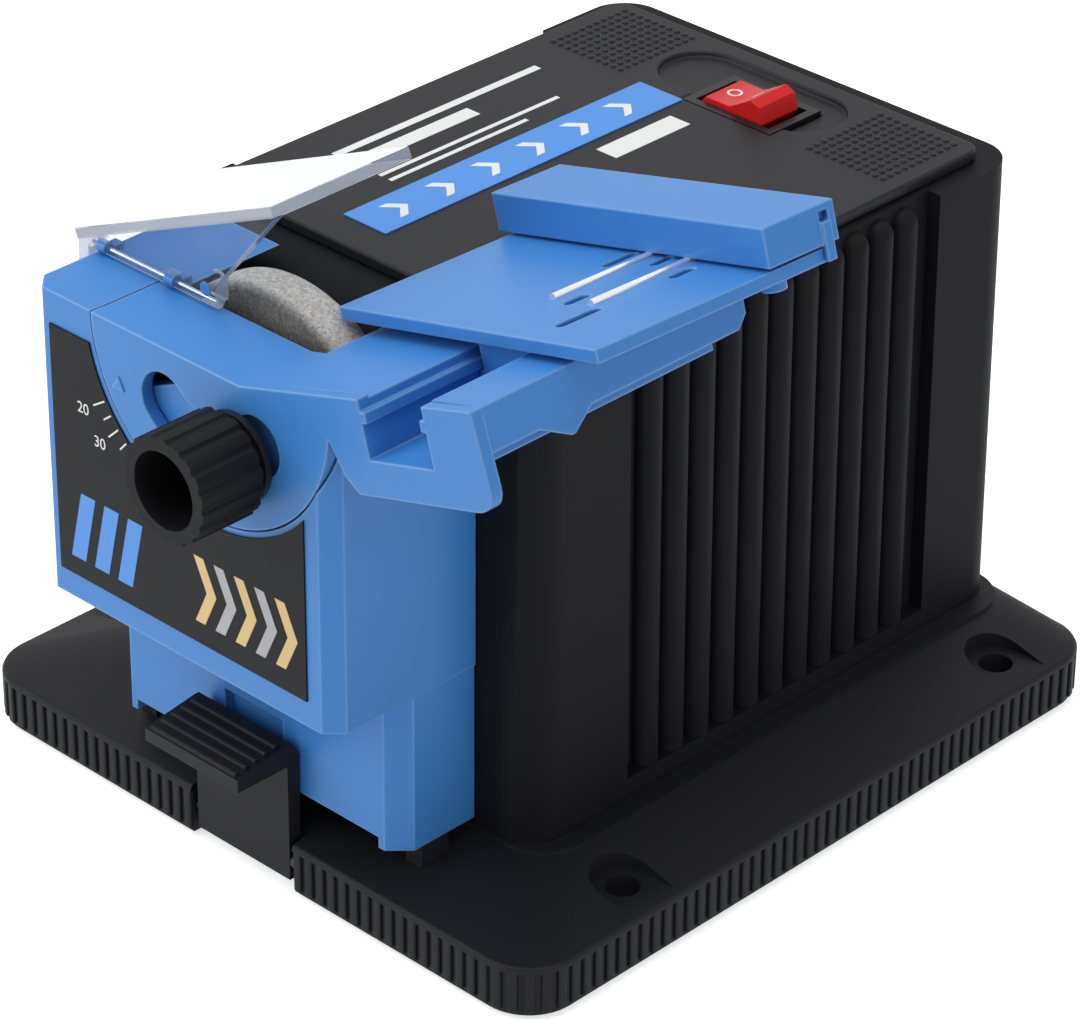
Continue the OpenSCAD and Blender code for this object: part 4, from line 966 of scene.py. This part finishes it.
@dataclass
class Housing(Assembly):
    """Motor housing with ribbed sides, top cover and switch.

    The marks sit on the two slopes of the rocker, which fall by a rise over a run.
    """

    low: float = 14.9
    high: float = 97.9
    half_w: float = 45.8
    foot_out: float = 0.25
    lean: float = 0.75
    cover_top: float = 100.1
    strip_t: float = 0.2
    dots_at: Point2 = (29.5, 44.3)
    dots_size: Point2 = (16.0, 18.0)
    dot_pitch: float = 1.8
    dot_r: float = 0.6
    switch: Point3 = (3.4, 41.05, 97.1)
    rocker_tilt: float = 15.0
    rocker_run: float = 5.2
    rocker_rise: float = 1.4
    mark_at: Point2 = (2.7, 4.63)
    mark_ring: Point2 = (0.95, 1.35)
    mark_sides: int = 32
    mark_bar: Box2 = (-0.2, -1.4, 0.2, 1.4)
    chevrons: int = 6
    chevron_at: Point2 = (-10.7, -28.0)
    chevron_pitch: float = 10.5
    chevron_half: float = 2.6
    chevron_rise: float = 2.4
    chevron_w: float = 1.8
    bars: tuple[Box2, ...] = (
        (-33.0, -22.0, -31.4, 26.0), (-29.4, -22.0, -26.2, 6.0), (-22.0, -22.0, -21.1, 20.0),
        (-19.6, -22.0, -18.7, 10.0), (-3.2, 10.0, 1.4, 28.0),
    )

    def draft(self, point: Vector) -> Vector:
        """Leans the housing sides in towards the top."""
        share = (point.z - self.low) / (self.high - self.low)
        return Vector((point.x * (1 + (self.foot_out - self.lean * share) / self.half_w), point.y, point.z))

    def build(self) -> None:
        """Makes the shell, the cover and the rocker."""
        shell = softened("housing_shell", 0.6, shape=self.draft)
        self.keep(shell, "base", BLACK_HOUSING, "black_abs", ["housing_shell"])
        self.keep(softened("top_cover", 0.7), "base", BLACK_SMOOTH, "black_abs", ["top_cover"])
        self.keep(softened("rocker", 0.45), "switch_rocker", RED_GLOSS, "red_switch", ["rocker"])

    def dress(self) -> None:
        """Adds the grip dots, the switch marks and the plain cover print."""
        for name, side in (("grip_dots_left", -1), ("grip_dots_right", 1)):
            middle = (side * self.dots_at[0], self.dots_at[1], self.cover_top)
            dots = over_field(name, middle, self.dots_size, self.dot_pitch, self.dot_r, BLACK_SMOOTH)
            self.keep(dots, "base", None, "black_abs")
        self.keep(self.switch_marks(), "switch_rocker", None, "red_switch")
        self.keep(self.cover_print(), "base", None, "strip_film")
        super().dress()

    def switch_marks(self) -> Piece:
        """Prints O and I on the two slopes of the rocker.

        Returns:
            The marks.
        """
        pivot = Matrix.Translation(self.switch) @ Matrix.Rotation(math.radians(-self.rocker_tilt), 4, "Y")
        slope = math.atan2(self.rocker_rise, self.rocker_run)
        reach, rise = self.mark_at
        off, on = (
            pivot @ Matrix.Translation((side * reach, 0, rise)) @ Matrix.Rotation(-side * slope, 4, "Y")
            for side in (-1, 1)
        )
        inner, outer = self.mark_ring
        ring = lathe([(inner, 0.0), (outer, 0.0), (outer, INK_T), (inner, INK_T)], off, self.mark_sides)
        bar = plate(oblong(*self.mark_bar), INK_T, on)
        return joined("switch_marks", [(ring, INK_WHITE), (bar, INK_WHITE)])

    def cover_print(self) -> Piece:
        """Prints plain bars on the cover and chevrons on its strip.

        Returns:
            The print.
        """
        half, rise, wide = self.chevron_half, self.chevron_rise, self.chevron_w
        lower = [(-half, -rise), (0.0, 0.0), (half, -rise)]
        chevron = lower + [(x, y + wide) for x, y in reversed(lower)]
        x, first = self.chevron_at
        parts = []
        for i in range(self.chevrons):
            place = Matrix.Translation((x, first + self.chevron_pitch * i, self.cover_top + self.strip_t))
            parts.append((plate(chevron, INK_T, place), INK_WHITE))
        place = Matrix.Translation((0, 0, self.cover_top))
        parts += [(plate(oblong(*bar), INK_T, place), INK_WHITE) for bar in self.bars]
        return joined("cover_print", parts)


@dataclass
class Wheel(Assembly):
    """The grinding wheel on the motor shaft, with a recess for its nut and rounded working edges."""

    radius: float = 25.5
    width: float = 8.0
    axis_h: float = 78.5
    edge: float = 1.5
    edge_steps: int = 6
    bore_r: float = 6.05
    recess_r: float = 10.0
    recess: float = 4.0
    chamfer: float = 0.4
    smooth: float = 40.0

    def build(self) -> None:
        """Turns the wheel."""
        recess_r, edge = self.recess_r, self.edge
        profile = [(self.bore_r, self.recess), (recess_r, self.recess)]
        profile += [(recess_r, self.chamfer), (recess_r + self.chamfer, 0.0)]
        for height, start in ((edge, -90), (self.width - edge, 0)):
            profile += quarter(self.radius - edge, height, edge, start, self.edge_steps)
        profile.append((self.bore_r, self.width))
        back = Matrix.Rotation(math.radians(-90), 4, "X")
        place = Matrix.Translation((0, WHEEL_FRONT, self.axis_h)) @ back
        thing = from_bmesh("look_grinding_wheel", lathe(profile, place))
        smooth_by_angle(thing.data, self.smooth)
        self.keep(thing, "rotor", STONE, "grinding_stone", ["grinding_wheel"])


@dataclass
class Attachment(Assembly):
    """Blue attachment body with its printed label and clamp knob.

    The scale runs round the axis of the tilting rest; heights of the pattern are from the floor.
    """

    label_t: float = 0.3
    zero_angle: float = 192.7
    scale: range = range(20, 45, 5)
    numbers: tuple[int, ...] = (20, 30)
    number_out: float = 6.2
    number_h: float = 2.0
    tick_r: float = 28.4
    tick_half: float = 0.14
    tick_long: float = 3.2
    tick_short: float = 2.2
    long_every: int = 10
    stripes: int = 3
    stripe_at: float = -26.5
    stripe_pitch: float = 5.6
    stripe_w: float = 3.4
    stripe_slant: float = 3.0
    stripe_z: Point2 = (53.5, 66.0)
    arrows: int = 5
    arrow_at: float = 3.0
    arrow_pitch: float = 4.6
    arrow_w: float = 2.2
    arrow_point: float = 2.8
    arrow_z: Point3 = (54.0, 60.0, 66.0)

    def build(self) -> None:
        """Makes the body and the knob."""
        self.keep(softened("attachment_body", 0.5), "attachment", BLUE_ABS, "blue_abs", ["attachment_body"])
        self.keep(softened("clamp_knob", 0.4), "knob", BLACK_KNOB, "black_abs", ["clamp_knob"])

    def dress(self) -> None:
        """Prints the angle scale and a plain pattern on the label."""
        y = ATTACHMENT_FRONT - self.label_t
        self.keep(joined("label_print", self.ticks(y) + self.pattern(y)), "attachment", None, "label_film")
        super().dress()

    def ticks(self, y: float) -> list[tuple[Solid, Finish]]:
        """Draws the angle scale.

        Args:
            y: Front of the label.

        Returns:
            Its ticks and numbers.
        """
        x, z = TILT_AXIS
        out = self.tick_r + self.number_out
        parts = []
        for value in self.scale:
            angle = self.zero_angle + value
            length = self.tick_short if value % self.long_every else self.tick_long
            tick = oblong(self.tick_r, -self.tick_half, self.tick_r + length, self.tick_half)
            parts.append((plate(tick, INK_T, facing_front(x, y, z, angle)), INK_WHITE))
            if value in self.numbers:
                right, up = (out * f(math.radians(angle)) for f in (math.cos, math.sin))
                place = facing_front(x + right, y - NUMERAL_T / 2, z + up)
                parts.append((numerals(str(value), self.number_h, place), INK_WHITE))
        return parts

    def pattern(self, y: float) -> list[tuple[Solid, Finish]]:
        """Draws slanted stripes and a row of arrows.

        Args:
            y: Front of the label.

        Returns:
            The stripes and arrows.
        """
        parts = []
        place = facing_front(0, y, 0)
        wide, (low, high) = self.stripe_w, self.stripe_z
        for i in range(self.stripes):
            x = self.stripe_at + self.stripe_pitch * i
            top = x + self.stripe_slant
            stripe = [(x, low), (x + wide, low), (top + wide, high), (top, high)]
            parts.append((plate(stripe, INK_T, place), INK_BLUE))
        wide, (low, middle, high) = self.arrow_w, self.arrow_z
        for i in range(self.arrows):
            x = self.arrow_at + self.arrow_pitch * i
            tip = x + self.arrow_point
            lower, upper = [(x, low), (x + wide, low)], [(x + wide, high), (x, high)]
            arrow = lower + [(tip + wide, middle)] + upper + [(tip, middle)]
            parts.append((plate(arrow, INK_T, place), INK_GREY if i % 2 else INK_TAN))
        return parts


@dataclass
class Rest(Assembly):
    """Tilting rest with its angle pointer, sliding carriage and fence."""

    pointer_angle: float = 208.5
    pointer_r: Point2 = (22.6, 25.2)
    pointer_half: float = 1.3
    pointer_t: float = 0.25

    def build(self) -> None:
        """Makes the three blue pieces."""
        self.keep(softened("tilting_rest", 0.4), "rest", BLUE_ABS, "blue_abs", ["tilting_rest"])
        self.keep(softened("carriage", 0.35), "slide_table", BLUE_ABS, "blue_abs", ["carriage"])
        self.keep(softened("fence", 0.4), "stop_fence", BLUE_ABS, "blue_abs", ["fence"])

    def dress(self) -> None:
        """Adds the raised pointer that reads the angle scale."""
        x, z = TILT_AXIS
        root, tip = self.pointer_r
        outline = [(tip, 0.0), (root, self.pointer_half), (root, -self.pointer_half)]
        place = facing_front(x, ATTACHMENT_FRONT, z, self.pointer_angle)
        pointer = joined("angle_pointer", [(plate(outline, self.pointer_t, place), BLUE_ABS)])
        self.keep(pointer, "rest", None, "blue_abs")
        super().dress()


@dataclass
class Guard(Assembly):
    """Clear guard over the wheel."""

    ear: Point3 = (-7.55, -73.05, 103.6)
    cap_r: float = 1.2
    cap_t: float = 0.1
    cap_sides: int = 24

    def build(self) -> None:
        """Makes the clear guard."""
        self.keep(softened("guard", 0.25, 2), "wheel_guard", CLEAR_PC, "clear_pc", ["guard"])

    def dress(self) -> None:
        """Adds the blue cap in the right ear."""
        disc = plate(circle(self.cap_r, self.cap_sides), self.cap_t, facing_front(*self.ear))
        self.keep(joined("ear_cap", [(disc, BLUE_ABS)]), "wheel_guard", None, "blue_abs")
        super().dress()


@dataclass(frozen=True)
class Softbox:
    """A rectangular studio light, in metres and watts."""

    name: str
    place: Point3
    target: Point3
    size: Point2
    power: float

    def build(self) -> None:
        """Adds the light to the scene."""
        light = bpy.data.lights.new(self.name, "AREA")
        light.shape = "RECTANGLE"
        light.size, light.size_y = self.size
        light.energy = self.power
        thing = new_object(self.name, light)
        thing.location = self.place
        thing.rotation_euler = (Vector(self.target) - Vector(self.place)).to_track_quat("-Z", "Y").to_euler()


@dataclass
class Studio:
    """Camera, pale floor, soft lights and white surroundings."""

    azimuth: float = 43.952
    elevation: float = 30.539
    roll: float = 0.445
    place: Point3 = (481.1, -505.05, 448.0)
    focal_px: float = 4754.2
    picture_w: int = 1080
    sensor: float = 36.0
    clip: Point2 = (0.05, 10.0)
    floor_half: float = 3000.0
    soft_colour: str = "#e8edf2"
    soft_strength: float = 0.45
    lights: tuple[Softbox, ...] = (
        Softbox("top_box", (-0.10, -0.15, 0.85), (0.0, 0.0, 0.05), (0.9, 0.9), 5.4),
        Softbox("front_box", (-0.55, -0.85, 0.45), (0.0, 0.0, 0.06), (0.7, 0.7), 4.3),
        Softbox("side_box", (1.0, -0.1, 0.5), (0.0, 0.0, 0.06), (0.5, 0.9), 2.0),
    )

    def build(self) -> None:
        """Sets up everything that isn't the object."""
        scene = bpy.context.scene
        scene.view_settings.view_transform = "Standard"
        self.camera(scene)
        for light in self.lights:
            light.build()
        self.floor()
        self.surroundings(scene)

    def camera(self, scene: bpy.types.Scene) -> None:
        """Adds the camera that took the photo, solved from its straight edges.

        Args:
            scene: Scene that looks through it.
        """
        lens = bpy.data.cameras.new("camera")
        lens.sensor_width = self.sensor
        lens.lens = self.focal_px * self.sensor / self.picture_w
        lens.clip_start, lens.clip_end = self.clip
        place = Matrix.Translation(Vector(self.place) * MM)
        for degrees, axis in ((self.azimuth, "Z"), (90 - self.elevation, "X"), (self.roll, "Z")):
            place = place @ Matrix.Rotation(math.radians(degrees), 4, axis)
        scene.camera = new_object("camera", lens)
        scene.camera.matrix_world = place

    def floor(self) -> None:
        """Lays a pale floor under the feet."""
        body = bmesh.new()
        bmesh.ops.create_grid(body, x_segments=1, y_segments=1, size=self.floor_half)
        thing = from_bmesh("floor", body)
        thing.data.materials.append(FLOOR.material())

    def surroundings(self, scene: bpy.types.Scene) -> None:
        """Makes the world white to the camera and softer for the light on the object.

        Args:
            scene: Scene that gets the world.
        """
        world = bpy.data.worlds.new("studio")
        world.use_nodes = True
        scene.world = world
        tree = world.node_tree
        tree.nodes.clear()
        soft, white = (
            add_node(tree, "ShaderNodeBackground", {"Color": colour, "Strength": strength})
            for colour, strength in ((linear(self.soft_colour), self.soft_strength), (WHITE, 1.0))
        )
        mix = add_node(tree, "ShaderNodeMixShader", {0: shown_white(tree), 1: soft, 2: white})
        add_node(tree, "ShaderNodeOutputWorld", {"Surface": mix})


def dress_cad_nodes() -> None:
    """Gives every CAD node that stays visible its finish."""
    for node, finish in CAD_FINISHES.items():
        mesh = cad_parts[node].data
        mesh.materials.clear()
        mesh.materials.append(finish.material())
        log.info("%s has the finish %s", node, finish.name)


def main() -> None:
    logging.basicConfig(level=logging.INFO)
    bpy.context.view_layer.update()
    dress_cad_nodes()
    assemblies: list[Assembly] = [Base(), Housing(), Wheel(), Attachment(), Rest(), Guard()]
    for assembly in assemblies:
        assembly.build()
    for assembly in assemblies:
        assembly.dress()
    Studio().build()


if __name__ == "__main__":
    main()
